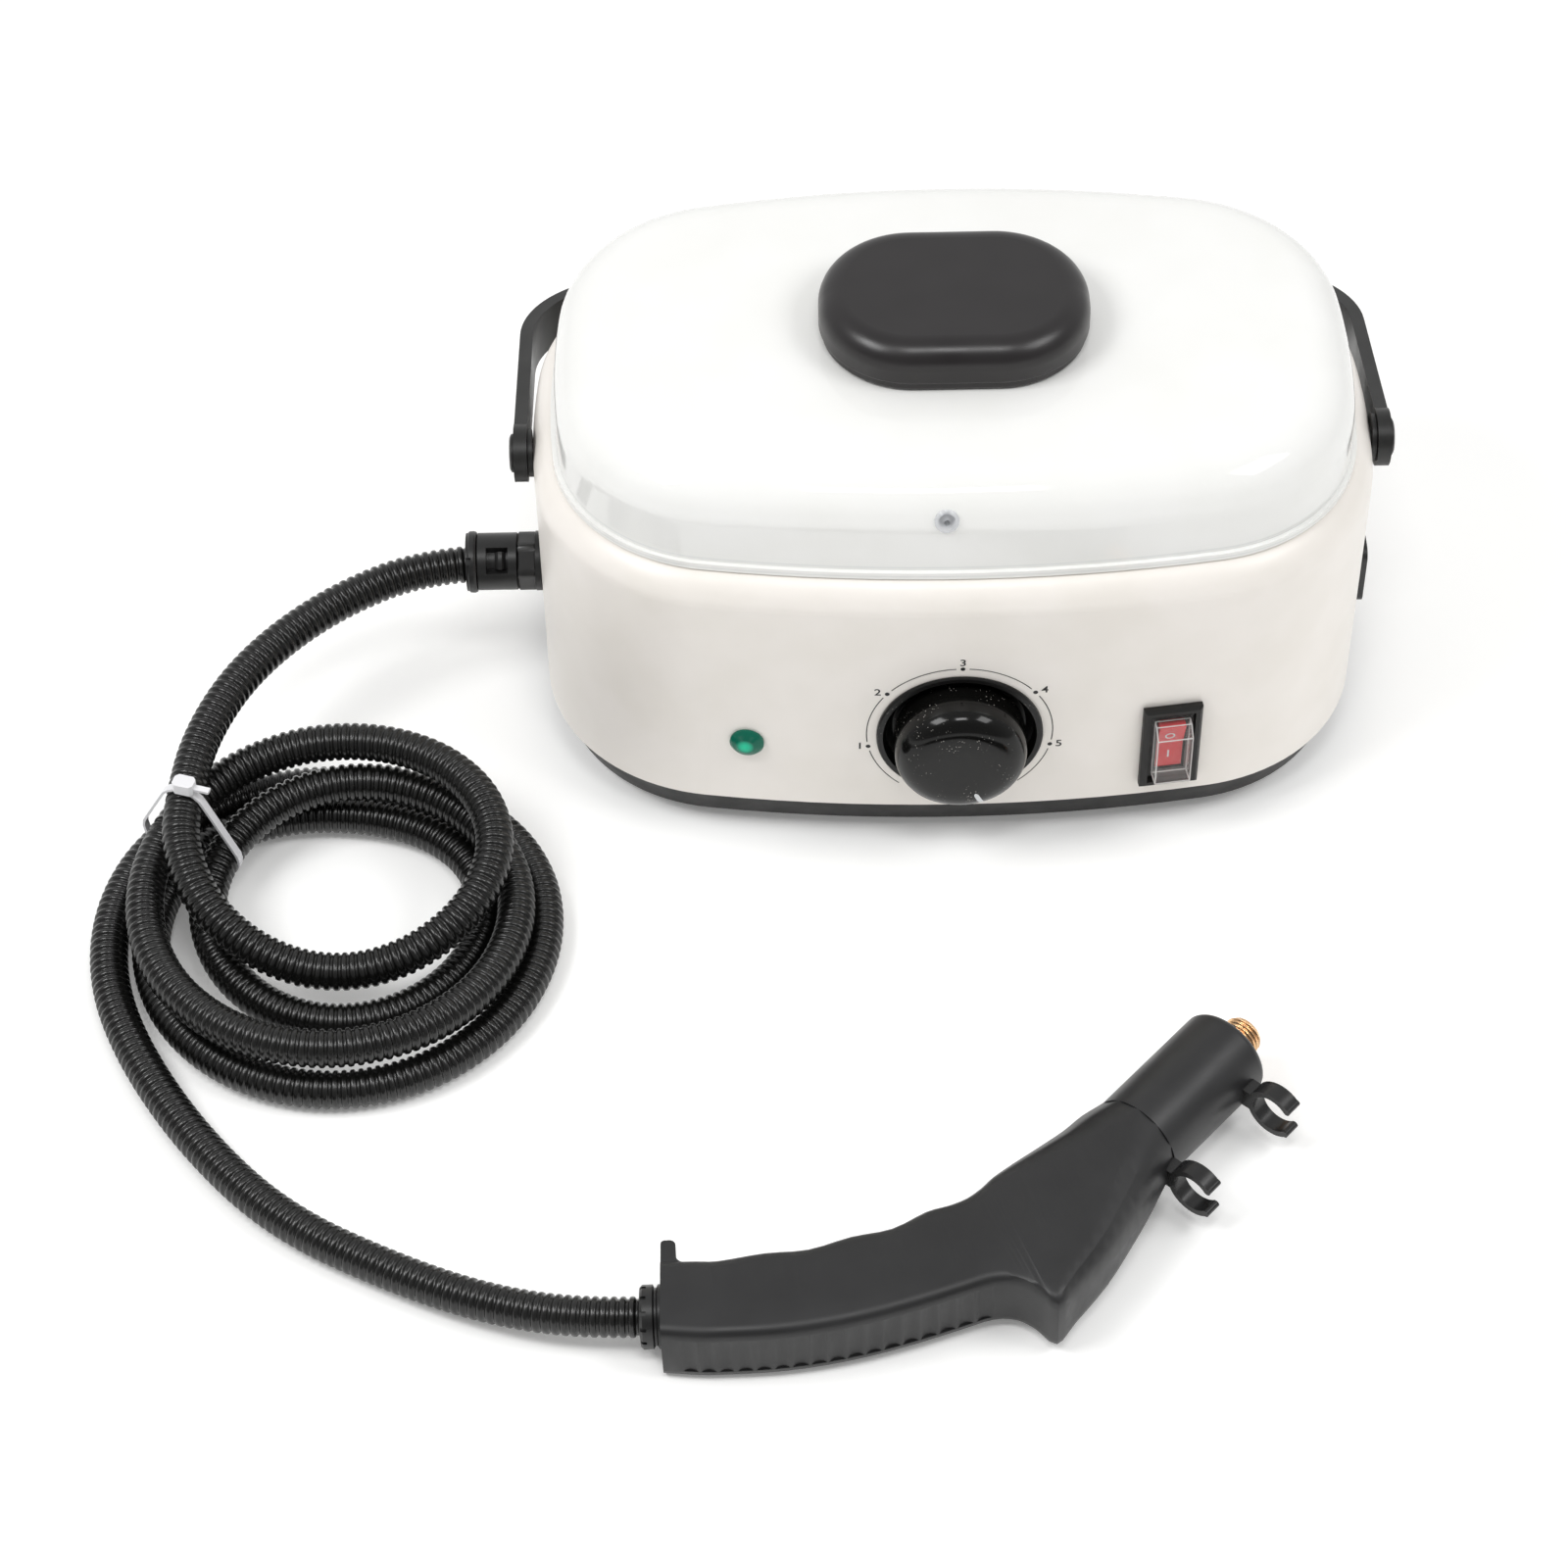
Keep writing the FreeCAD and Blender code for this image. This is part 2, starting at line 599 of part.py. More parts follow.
def outer_wall(gap):
    """The housing's outside, grown by a gap, to shape what lies on it."""
    bottom = float(S.base_height)
    return slab(wall_inset(bottom) - gap, bottom, wall_inset(SHELL_TOP) - gap, SHELL_TOP)


def make_dial():
    """Recessed dial: a dished bezel, a domed knob on its shaft and the regulator behind."""
    recess, depth = float(S.dial_recess_radius), float(S.dial_recess_depth)
    hole = recess - float(S.dial_lip)
    cup = [(4.3, -depth - 2), (4.3, -depth), (27.4, -depth), (30.4, -depth * 0.6), (hole - 1.4, 1.2), (hole - 0.3, 1.2),
           (hole - 0.3, -1.5), (hole - 3, -depth * 0.7 - 2), (28.5, -depth - 2)]
    lip = turned_solid([(hole - 1.4, -1.5), (recess, -1.5), (recess, 0.8), (recess - 0.6, 1.4), (hole - 1.4, 1.4)], DIAL)
    lip = lip.cut(outer_wall(0.3))
    feature("dial_bezel", turned_solid(cup, DIAL).fuse(lip))
    radius, out = S.dial_radius, S.dial_out
    knob = turned_piece("dial_knob", [(0.0, 9.0), (S.shaft_radius, 9.0), (S.shaft_radius, -4.5), (radius - 0.8, -4.5),
                                      (radius, 4.0), (radius - 0.6, out), (0.0, out + 0.6)], DIAL)
    soften(knob, "dial_knob_dome", S.dial_round + 3.0,
           lambda m, t: abs(m.z - float(out)) < 0.01 and math.hypot(m.x, m.y) > 20)
    turned_piece("dial_shaft", [(0.0, -22.0), (S.shaft_radius - 0.02, -22.0), (S.shaft_radius - 0.02, 8.9), (0.0, 8.9)],
                 DIAL)
    low = -depth - 2.3
    turned_piece("dial_regulator", [(S.shaft_radius + 0.05, low - 14), (14.0, low - 14), (14.0, low), (4.0, low),
                                    (4.0, -depth - 0.4), (S.shaft_radius + 0.05, -depth - 0.4)], DIAL)


def make_lamp():
    """Green pilot lamp: a domed lens in the panel and its holder behind."""
    radius = S.lamp_radius
    turned_piece("lamp_lens", [(0.0, -7.0), (radius - 1.6, -7.0), (radius - 1.6, 0.3), (radius, 0.3), (radius, 1.3),
                               (radius - 1.2, 2.6), (radius - 3.4, 3.6), (0.0, 4.0)], LAMP)
    turned_piece("lamp_holder", [(0.0, -20.0), (3.0, -20.0), (4.0, -14.0), (radius - 0.6, -14.0), (radius + 0.6, -9.0),
                                 (radius + 0.6, -2.9), (radius - 1.3, -2.9), (radius - 1.3, -7.2), (0.0, -7.2)], LAMP)


def make_switch():
    """Rocker switch: frame on the panel, body behind it, rocker on trunnions, clear boot over it."""
    width, tall, out = S.switch_width, S.switch_tall, S.switch_out
    frame = new_body("switch_frame")
    plan_sketch = new_sketch(frame, "switch_frame_plan", "XY_Plane", 0.3)
    rectangle(plan_sketch, width, tall)
    pad(frame, "switch_frame_pad", plan_sketch, out)
    soften(frame, "switch_frame_bevel", 1.2, lambda m, t: m.z > float(out) + 0.29, "Chamfer")
    recess = new_sketch(frame, "switch_frame_recess", "XY_Plane", out + 0.3)
    rectangle(recess, width - 6.0, tall - 6.0)
    pocket(frame, "switch_frame_floor", recess, out - 0.8)
    window = new_sketch(frame, "switch_frame_window", "XY_Plane", 1.1)
    rectangle(window, S.rocker_width + 1.2, S.rocker_tall + 2.8)
    pocket(frame, "switch_frame_through", window, 3.0)
    frame.Placement = SWITCH

    body = new_body("switch_body")
    block_sketch = new_sketch(body, "switch_body_plan")
    rectangle(block_sketch, width - 3.6, tall - 6.0)
    pad(body, "switch_body_block", block_sketch, 18.0, down=True)
    well = new_sketch(body, "switch_body_well")
    rectangle(well, S.rocker_width + 0.8, S.rocker_tall + 2.4)
    pocket(body, "switch_body_hollow", well, 10.0)
    bores = new_sketch(body, "switch_body_bores", "YZ_Plane")
    circle(bores, TRUNNION + 0.05, 0.0, ROCKER_PIVOT)
    pocket(body, "switch_body_bearings", bores, S.rocker_width + 2.4, both_ways=True)
    blades = new_sketch(body, "switch_body_blades", "XY_Plane", -18.0)
    for x in (-4.0, 4.0):
        for y in (-9.0, 9.0):
            rectangle(blades, 0.8, 6.3, x, y)
    pad(body, "switch_body_terminals", blades, 8.0, down=True)
    body.Placement = SWITCH

    rocker = new_body("switch_rocker")
    side = new_sketch(rocker, "switch_rocker_side", "YZ_Plane")
    half = S.rocker_tall / 2
    outline(side, [(-half, 4.4), (-half, -1.0), (-4.0, -4.6), (4.0, -4.6), (half, -1.0), (half, 4.4), (0.0, 2.7)])
    pad(rocker, "switch_rocker_block", side, S.rocker_width, both_ways=True)
    axle = new_sketch(rocker, "switch_rocker_axle", "YZ_Plane")
    circle(axle, TRUNNION, 0.0, 0.0)
    pad(rocker, "switch_rocker_trunnions", axle, S.rocker_width + 2.0, both_ways=True)
    tilt = FreeCAD.Rotation(V(1, 0, 0), ROCKER_REST)
    rocker.Placement = SWITCH.multiply(FreeCAD.Placement(V(0, 0, ROCKER_PIVOT), tilt))

    boot = new_body("switch_boot")
    flange = new_sketch(boot, "switch_boot_flange", "XY_Plane", 1.1)
    rectangle(flange, S.boot_width + 2.0, S.boot_tall + 3.0)
    pad(boot, "switch_boot_base", flange, 1.0)
    side = new_sketch(boot, "switch_boot_side", "YZ_Plane")
    high = S.boot_tall / 2
    outline(side, [(-high, 1.5), (high, 1.5), (high - 0.6, S.boot_out * 0.55), (high - 5.0, S.boot_out),
                   (-high + 0.6, S.boot_out)])
    pad(boot, "switch_boot_hood", side, S.boot_width, both_ways=True)
    hollow = new_sketch(boot, "switch_boot_inside", "YZ_Plane")
    outline(hollow, [(-high + 1.0, 0.5), (high - 1.0, 0.5), (high - 1.5, S.boot_out * 0.55 - 0.4),
                     (high - 5.6, S.boot_out - 0.9), (-high + 1.5, S.boot_out - 0.9)])
    pocket(boot, "switch_boot_hollow", hollow, S.boot_width - 2.0, both_ways=True)
    boot.Placement = SWITCH


TRUNNION = 1.0
ROCKER_PIVOT = -2.2
ROCKER_REST = 8.0


# Ports on the two ends

def make_gland():
    """Conduit gland: flanged hex, body with two latch windows, split lock ring, nut inside the wall."""
    flange, radius, length = float(S.gland_flange), float(S.gland_radius), float(S.gland_length)
    bore, hose = float(S.hose_radius) + 0.3, float(S.hose_bore) + 0.9
    ring_start = length - 4.4
    shank = turned_solid([(hose, -12), (GLAND_THREAD, -12), (GLAND_THREAD, 0.3), (flange, 0.3), (flange, 2.8),
                          (hose, 2.8)])
    barrel = turned_solid([(hose, 2.8), (radius - 1, 2.8), (radius - 1, 10.2), (radius, 10.8), (radius, ring_start - 0.3),
                           (bore, ring_start - 0.3), (bore, 8), (hose, 8)])
    body = shank.fuse(hexagon(23.4, 2.8, 10.2).cut(Part.makeCylinder(hose + 2, 10, V(0, 0, 2)))).fuse(barrel)
    for spin in (0, 180):
        window = Part.makeBox(5, 8.4, 9.2, V(radius - 3.2, -4.2, 14.5))
        window.rotate(V(0, 0, 0), V(0, 0, 1), GLAND_WINDOW + spin)
        body = body.cut(window)
    body.Placement = GLAND
    feature("gland_body", body)

    ring = turned_solid([(bore, ring_start), (radius + 0.5, ring_start), (radius + 0.9, ring_start + 1),
                         (radius + 0.9, ring_start + 3), (radius + 0.2, ring_start + 3.6), (radius + 0.2, length),
                         (bore, length)])
    for i in range(4):
        notch = Part.makeBox(4, 3, 2.4, V(radius - 1.6, -1.5, length - 2.4))
        notch.rotate(V(0, 0, 0), V(0, 0, 1), 45 + 90 * i)
        ring = ring.cut(notch)
    ring.Placement = GLAND
    feature("gland_lock_ring", ring)
    nut = hexagon(25.0, -8.4, -3.0).cut(Part.makeCylinder(GLAND_THREAD + 0.02, 8, V(0, 0, -9)))
    nut.Placement = GLAND
    feature("gland_nut", nut)


GLAND_WINDOW = 135.0
GLAND_SEAT = 8.0
INLET_SCREW_SIDE = 20.0
INLET_SCREW_RADIUS = 1.4


def make_inlet():
    """Mains inlet: flange with bevelled corners, socket with a keyed mouth, three flat pins, two screws."""
    width, tall, out = float(S.inlet_width), float(S.inlet_tall), float(S.inlet_out)
    flange = Part.makeBox(width, tall, out + 3, V(-width / 2, -tall / 2, -2.7))
    corners = [e for e in flange.Edges if e.BoundBox.ZLength > 3]
    flange = flange.makeFillet(5, corners)
    flange.Placement = INLET
    flange = flange.cut(outer_wall(0.3))
    box = block(INLET, 27.0, 20.0, -17, 0.3)
    mouth = [V(-12.1, -8.2, 0), V(12.1, -8.2, 0), V(12.1, 3.6, 0), V(8.0, 8.2, 0), V(-8.0, 8.2, 0), V(-12.1, 3.6, 0)]
    mouth = Part.Face(Part.makePolygon(mouth + mouth[:1])).extrude(V(0, 0, 20))
    mouth.Placement = INLET.multiply(FreeCAD.Placement(V(0, 0, -15), FreeCAD.Rotation()))
    socket = flange.fuse(box).cut(mouth)
    for x in (-INLET_SCREW_SIDE, INLET_SCREW_SIDE):
        hole = Part.makeCylinder(1.7, 20, V(x, 0, -10)).fuse(Part.makeCone(1.7, 3.2, 1.8, V(x, 0, out - 1.5)))
        hole.Placement = INLET
        socket = socket.cut(hole)
    pins = [block(INLET, 2.0, 4.0, -24.0, -2.5, x, y) for x, y in ((-7.0, 0.0), (0.0, 3.2), (7.0, 0.0))]
    feature("inlet_socket", socket.cut(Part.makeCompound(pins)))
    group("inlet_pins", pins)
    screw = [(0, -7), (INLET_SCREW_RADIUS, -7), (INLET_SCREW_RADIUS, out - 1.6), (2.8, out), (0, out)]
    group("inlet_screws", [turned_solid(screw, INLET.multiply(at(x, 0, 0)))
                           for x in (-INLET_SCREW_SIDE, INLET_SCREW_SIDE)])


# Carrying handle

def make_handle():
    """Black carrying handle: a U-shaped strap with round eyes that turn on two shoulder pins."""
    thick, width = S.handle_thickness, S.handle_width
    inner = S.body_half_width + S.handle_gap
    outer = inner + thick
    reach = S.handle_reach
    strap = new_body("carry_handle")
    plan_sketch = new_sketch(strap, "carry_handle_plan")
    outline(plan_sketch, [(-outer, 0.0), (-inner, 0.0), (-inner, reach - thick), (inner, reach - thick),
                          (inner, 0.0), (outer, 0.0), (outer, reach), (-outer, reach)])
    pad(strap, "carry_handle_strap", plan_sketch, width, both_ways=True)
    soften(strap, "carry_handle_outer_bend", S.handle_corner,
           lambda m, t: abs(t.z) > 0.9 and m.y > float(reach) - 0.1)
    soften(strap, "carry_handle_inner_bend", S.handle_corner - thick,
           lambda m, t: abs(t.z) > 0.9 and abs(m.y - float(reach - thick)) < 0.1)
    for name, lift, down in (("left", -inner, True), ("right", inner, False)):
        eye = new_sketch(strap, "carry_handle_%s_eye" % name, "YZ_Plane", lift)
        circle(eye, S.handle_eye, 0.0, 0.0)
        pad(strap, "carry_handle_%s_boss" % name, eye, thick, down=down)
    bore = new_sketch(strap, "carry_handle_bore", "YZ_Plane")
    circle(bore, S.pin_radius + S.pin_clearance, 0.0, 0.0)
    pocket(strap, "carry_handle_drill", bore, outer * 2 + 2.0, both_ways=True)
    strap.Placement = FreeCAD.Placement(V(0, PIVOT_Y, PIVOT_Z),
                                        FreeCAD.Rotation(V(1, 0, 0), -float(S.handle_droop)))


def make_handle_pins():
    """Shoulder pins through the housing wall, a spacer bush on each and a nut inside."""
    radius, head = float(S.pin_radius), float(S.pin_head)
    arm = HANDLE_X + float(S.handle_thickness)
    start = HANDLE_X - 14
    pin = [(0, start), (radius, start), (radius, arm + 0.3), (head, arm + 0.3), (head, arm + 1.2),
           (head - 1.2, arm + 0.3 + float(S.pin_head_out)), (0, arm + 0.3 + float(S.pin_head_out))]
    bush = [(radius + 0.1, HANDLE_X - 4.5), (10.0, HANDLE_X - 4.5), (10.0, HANDLE_X - 0.3),
            (radius + 0.1, HANDLE_X - 0.3)]
    sides = [at(0, PIVOT_Y, PIVOT_Z, (sign, 0, 0)) for sign in (-1, 1)]
    group("handle_pins", [turned_solid(pin, place) for place in sides])
    group("handle_bushes", [turned_solid(bush, place).cut(outer_wall(0.2)) for place in sides])
    nuts = []
    for place in sides:
        nut = hexagon(12.0, HANDLE_X - 12.5, HANDLE_X - 7.0)
        nut = nut.cut(Part.makeCylinder(radius + 0.02, 10, V(0, 0, HANDLE_X - 14)))
        nut.Placement = place
        nuts.append(nut)
    group("handle_nuts", nuts)


# Inside the housing

PAN_FLOOR = float(S.foot_height + S.shell_wall)
PUMP = (84.0, 20.0, 34.0)
BOILER = (-30.0, 6.0)


def rounded_path(points, share=0.45):
    """Straight runs joined by tangent arcs; gives the wire and the arcs' radii."""
    edges, radii = [], []
    start = points[0]
    for i in range(1, len(points) - 1):
        before, after = points[i] - points[i - 1], points[i + 1] - points[i]
        half_turn = before.getAngle(after) / 2
        set_back = share * min(before.Length, after.Length)
        one = points[i] - V(before).normalize() * set_back
        two = points[i] + V(after).normalize() * set_back
        radius = set_back / math.tan(half_turn)
        bisector = ((one + two) * 0.5 - points[i]).normalize()
        middle = points[i] + bisector * (math.hypot(radius, set_back) - radius)
        edges.append(Part.LineSegment(start, one).toShape())
        edges.append(Part.Arc(one, middle, two).toShape())
        radii.append(radius)
        start = two
    edges.append(Part.LineSegment(start, points[-1]).toShape())
    return Part.Wire(edges), radii


def swept(wire, radius):
    """A round bar along a wire."""
    start = wire.Edges[0]
    point = start.valueAt(start.FirstParameter)
    along = start.tangentAt(start.FirstParameter)
    ring = Part.Wire([Part.Circle(point, along, radius).toShape()])
    return wire.makePipeShell([ring], True, False)


def make_pump():
    """Vibration pump on two rubber cradles, and its tubes."""
    x, y, z = PUMP
    body = turned_solid([(0, -34), (5, -34), (5, -24), (12, -22), (19, -19), (19, 17), (15, 19), (9, 21), (9, 27),
                         (4, 27), (4, 36), (0, 36)], at(x, y, z, (0, 1, 0)))
    feature("pump_body", body)
    cradles = []
    for shift in (-13, 9):
        cradle = Part.makeBox(46, 8, 24, V(x - 23, y + shift, PAN_FLOOR))
        cradle = cradle.cut(Part.makeCylinder(19.2, 20, V(x, y + shift - 5, z), V(0, 1, 0)))
        cradles.append(cradle)
    group("pump_cradles", cradles)


def make_boiler():
    """Cast aluminium boiler on four feet with its heating element's ends and a thermal cut-out on top."""
    x, y = BOILER
    low, high = PAN_FLOOR, PAN_FLOOR + 46
    block_shape = Part.makeBox(120, 62, 32, V(x - 60, y - 31, low + 14))
    block_shape = block_shape.makeFillet(14, [e for e in block_shape.Edges if e.BoundBox.ZLength > 20])
    for i in range(6):
        block_shape = block_shape.cut(Part.makeBox(76, 3, 6, V(x - 38, y - 26 + 10 * i, high - 6)))
    for sx in (-1, 1):
        for sy in (-1, 1):
            block_shape = block_shape.fuse(Part.makeCylinder(6, 14.5, V(x + sx * 48, y + sy * 18, low)))
    spout = Part.makeCylinder(5, 12, V(x - 59, y, low + 30), V(-1, 0, 0))
    inlet = Part.makeCylinder(4, 12, V(x + 59, y, low + 30), V(1, 0, 0))
    feature("boiler_block", block_shape.fuse([spout, inlet]))
    ends = [Part.makeCylinder(3.6, 20, V(x + side, y - 31, low + 24), V(0, -1, 0)) for side in (-30, 30)]
    group("heating_element_ends", ends)
    turned_piece("thermal_cutout", [(0.0, 0.0), (9.0, 0.0), (9.0, 3.0), (7.5, 5.5), (7.5, 9.0), (0.0, 9.0)],
                 at(x, y, high))


def make_tubes():
    """Silicone tube from the tank to the pump, pump to boiler, and the steam tube to the gland."""
    x, y, z = PUMP
    bx, by = BOILER
    ox, oy = OUTLET
    low = PAN_FLOOR + 30
    spout = float(S.tank_floor_height) - 16.3
    suction, _ = rounded_path([V(ox, oy, spout), V(ox, oy, 48), V(ox - 2, oy + 28, 36), V(x + 20, y + 55, z),
                               V(x, y + 55, z), V(x, y + 36.3, z)])
    feature("suction_tube", swept(suction, 3.6))
    feed, _ = rounded_path([V(x, y - 34.3, z), V(x, y - 52, z), V(x - 24, y - 54, z + 3), V(bx + 86, by, low),
                            V(bx + 71.3, by, low)])
    feature("feed_tube", swept(feed, 3.2))
    wall = GLAND.multVec(V(0, 0, -12.3))
    inward = GLAND.Rotation.multVec(V(0, 0, -24))
    steam, _ = rounded_path([V(bx - 71.3, by, low), V(bx - 84, by, low), V(bx - 90, by - 3, low + 20),
                             wall + inward, wall])
    feature("steam_tube", swept(steam, 4.2))


def make_control_board():
    """Control board on four standoffs with a relay, a capacitor and a terminal block."""
    x, y, z = 75.7 - WIDE, DEEP - 54.6, PAN_FLOOR + 10
    board = Part.makeBox(70, 44, 1.6, V(x - 35, y - 22, z))
    board = board.fuse([Part.makeBox(19, 15, 15, V(x - 28, y - 12, z + 1.6)),
                        Part.makeCylinder(6, 14, V(x + 6, y + 8, z + 1.6)),
                        Part.makeBox(24, 9, 10, V(x + 6, y - 18, z + 1.6))])
    feature("control_board", board)
    group("board_standoffs", [Part.makeCylinder(3, 10, V(x + sx * 31, y + sy * 17, PAN_FLOOR))
                              for sx in (-1, 1) for sy in (-1, 1)])


# Hose

LEAD_ROUTE = [(-262, -20, 59.5), (-295.5, -53, 57), (-314, -92, 54.3), (-319.3, -127, 48.7)]
TAIL_ROUTE = [(-350.5, -184, 8.2), (-336, -224, 8), (-307.5, -270, 8), (-272, -309, 8), (-225, -336, 8.2),
              (-188, -353, 10.5)]
COIL_CENTRE = V(-256, -146, 0)
# Each turn of the coil: its reach from the coil's centre and its height at the left, front, right and back.
COIL_TURNS = [
    ((62.0, 44.8), (47.0, 20.0), (65.0, 39.5), (60.0, 42.2)),
    ((77.5, 28.7), (92.0, 25.8), (71.5, 20.4), (48.5, 29.4)),
    ((54.0, 17.8), (64.0, 8.0), (59.5, 8.0), (47.5, 9.9)),
    ((75.5, 9.9), (99.0, 8.0), (83.0, 8.0), (65.0, 9.9)),
]
COIL_END = (94.5, 9.9)
RIB_PITCH = float(S.rib_pitch)


def coil_knots():
    """The coil's points, a quarter turn apart and counter-clockwise from the left."""
    reaches = [quarter for loop in COIL_TURNS for quarter in loop] + [COIL_END]
    knots = []
    for k, (reach, height) in enumerate(reaches):
        swing = math.radians(180 + 90 * k)
        knots.append(COIL_CENTRE + V(reach * math.cos(swing), reach * math.sin(swing), height))
    return knots


def coil_directions(knots, first, last):
    """Which way the coil runs at each point: level where it is highest or lowest."""
    along = [first]
    for before, here, after in zip(knots, knots[1:], knots[2:]):
        way = after - before
        if (after.z - here.z) * (here.z - before.z) <= 0:
            way.z = 0
        along.append(way.normalize())
    return along + [last]


def arc_towards(start, corner, end):
    """The arc from start to end that is tangent to the lines which meet at the corner."""
    middle = (start + end) * 0.5
    half_chord = (end - start).Length / 2
    height = (corner - middle).Length
    set_back = math.hypot(half_chord, height)
    radius = set_back * half_chord / height
    top = corner + (middle - corner) * ((math.hypot(radius, set_back) - radius) / height)
    return Part.Arc(start, top, end).toShape(), radius


def biarc(start, first, end, last):
    """Two tangent arcs from one point and direction to the next."""
    v, t = end - start, first + last
    spread = 2 * (1 - first.dot(last))
    reach = (math.sqrt(v.dot(t) ** 2 + spread * v.dot(v)) - v.dot(t)) / spread
    corner_one, corner_two = start + first * reach, end - last * reach
    joint = (corner_one + corner_two) * 0.5
    return [arc_towards(start, corner_one, joint), arc_towards(joint, corner_two, end)]


def hose_ring(point, along, radius):
    """A circle across the hose, its seam always on the same side."""
    side = V(0, 0, 1).cross(along).normalize()
    ring = Part.Circle(point, along, radius)
    ring.XAxis = side
    return Part.Wire([ring.toShape()])


def stations(wire, distances):
    """Points and directions at given lengths along a wire."""
    found, passed, edges = [], 0.0, list(wire.Edges)
    edge = edges.pop(0)
    for distance in distances:
        while distance - passed > edge.Length and edges:
            passed += edge.Length
            edge = edges.pop(0)
        where = edge.getParameterByLength(min(distance - passed, edge.Length))
        found.append((edge.valueAt(where), edge.tangentAt(where)))
    return found


def ribbed_hose(label, wire):
    """Corrugated conduit: each rib has a flat crest between sloping sides, round a smooth bore."""
    crest, root = float(S.hose_radius), float(S.hose_root)
    count = int(round(wire.Length / RIB_PITCH))
    pitch = wire.Length / count
    shares = [(0.08, root), (0.25, crest), (0.75, crest), (0.92, root)]
    places = [((i + share) * pitch, radius) for i in range(count) for share, radius in shares]
    places = [(0.0, root)] + places + [(wire.Length, root)]
    spots = stations(wire, [distance for distance, _ in places])
    rings = [hose_ring(point, along, radius) for (point, along), (_, radius) in zip(spots, places)]
    outside = Part.makeLoft(rings, True, True)
    point, along = spots[0]
    bore = wire.makePipeShell([hose_ring(point, along, float(S.hose_bore))], True, False)
    print("%s: %d ribs, length %.1f" % (label, count, wire.Length))
    return feature(label, outside.cut(bore))


def make_hose():
    """The hose in three nodes: from the gland to the coil, four turns, and on to the steam gun."""
    seat = GLAND.multVec(V(0, 0, GLAND_SEAT))
    leave = GLAND.multVec(V(0, 0, GLAND_SEAT + 38.7))
    lead = [seat, leave] + [V(*p) for p in LEAD_ROUTE]
    knots = coil_knots()
    tail = [knots[-1]] + [V(*p) for p in TAIL_ROUTE]
    tail += [GUN.multVec(V(-28.5, COLLAR_Y, 0)), GUN.multVec(V(COLLAR_SEAT, COLLAR_Y, 0))]
    lead_wire, lead_radii = rounded_path(lead + [knots[0]])
    tail_wire, tail_radii = rounded_path(tail)
    directions = coil_directions(knots, (knots[0] - lead[-1]).normalize(), (tail[1] - tail[0]).normalize())
    pieces = []
    for k in range(len(knots) - 1):
        pieces += biarc(knots[k], directions[k], knots[k + 1], directions[k + 1])
    coil_wire = Part.Wire([edge for edge, _ in pieces])
    print("bend radii: lead %s, coil from %.1f, tail %s" % (
        [round(r) for r in lead_radii], min(r for _, r in pieces), [round(r) for r in tail_radii]))
    ribbed_hose("hose_lead", lead_wire)
    shell = Part.BRepOffsetAPI.MakePipeShell(coil_wire)
    shell.add(hose_ring(knots[0], directions[0], float(S.hose_radius)))
    shell.build()
    shell.makeSolid()
    feature("hose_coil", shell.shape())
    ribbed_hose("hose_tail", tail_wire)
    report_gap([lead_wire, coil_wire, tail_wire])
    make_cable_tie([lead_wire, coil_wire])


def report_gap(wires):
    """Print the hose's length and its least gap to itself, measured on points 4 mm apart."""
    points, passed, step = [], 0.0, 4.0
    for wire in wires:
        count = int(wire.Length / step)
        points += [point for point, _ in stations(wire, [wire.Length * i / count for i in range(count)])]
        passed += wire.Length
    apart = int(45 / step)
    least = min(points[i].distanceToPoint(points[j])
                for i in range(len(points)) for j in range(i + apart, len(points)))
    print("hose: length %.0f, least gap to itself %.2f" % (passed, least - 2 * float(S.hose_radius)))


# Cable tie round the lead and the coil's turns

TIE_ANGLE = 162.0
TIE_GAP = 0.7
TIE_THICKNESS = 1.1
TIE_WIDTH = 3.6
TIE_REACH = 84.0


def tie_plane():
    """The upright plane through the coil's centre in which the tie lies: local X points outwards."""
    swing = math.radians(TIE_ANGLE)
    out = V(math.cos(swing), math.sin(swing), 0)
    return FreeCAD.Placement(COIL_CENTRE, FreeCAD.Rotation(out, V(0, 0, 1), out.cross(V(0, 0, 1)), "XYZ"))


def hull(points):
    """The convex outline of points in a plane, counter-clockwise."""
    points = sorted(points)
    chains = []
    for run in (points, points[::-1]):
        chain = []
        for p in run:
            while len(chain) > 1 and ((chain[-1][0] - chain[-2][0]) * (p[1] - chain[-2][1])
                                      - (chain[-1][1] - chain[-2][1]) * (p[0] - chain[-2][0])) <= 1e-6:
                chain.pop()
            chain.append(p)
        chains += chain[:-1]
    return chains


def loop_round(centres, radius):
    """A tight loop round circles of one radius, as a wire in the plane."""
    steps = 20
    points = [(x + radius * math.cos(2 * math.pi * i / steps), y + radius * math.sin(2 * math.pi * i / steps))
              for x, y in centres for i in range(steps)]
    corners = [V(x, y, 0) for x, y in hull(points)]
    return Part.makePolygon(corners + corners[:1])


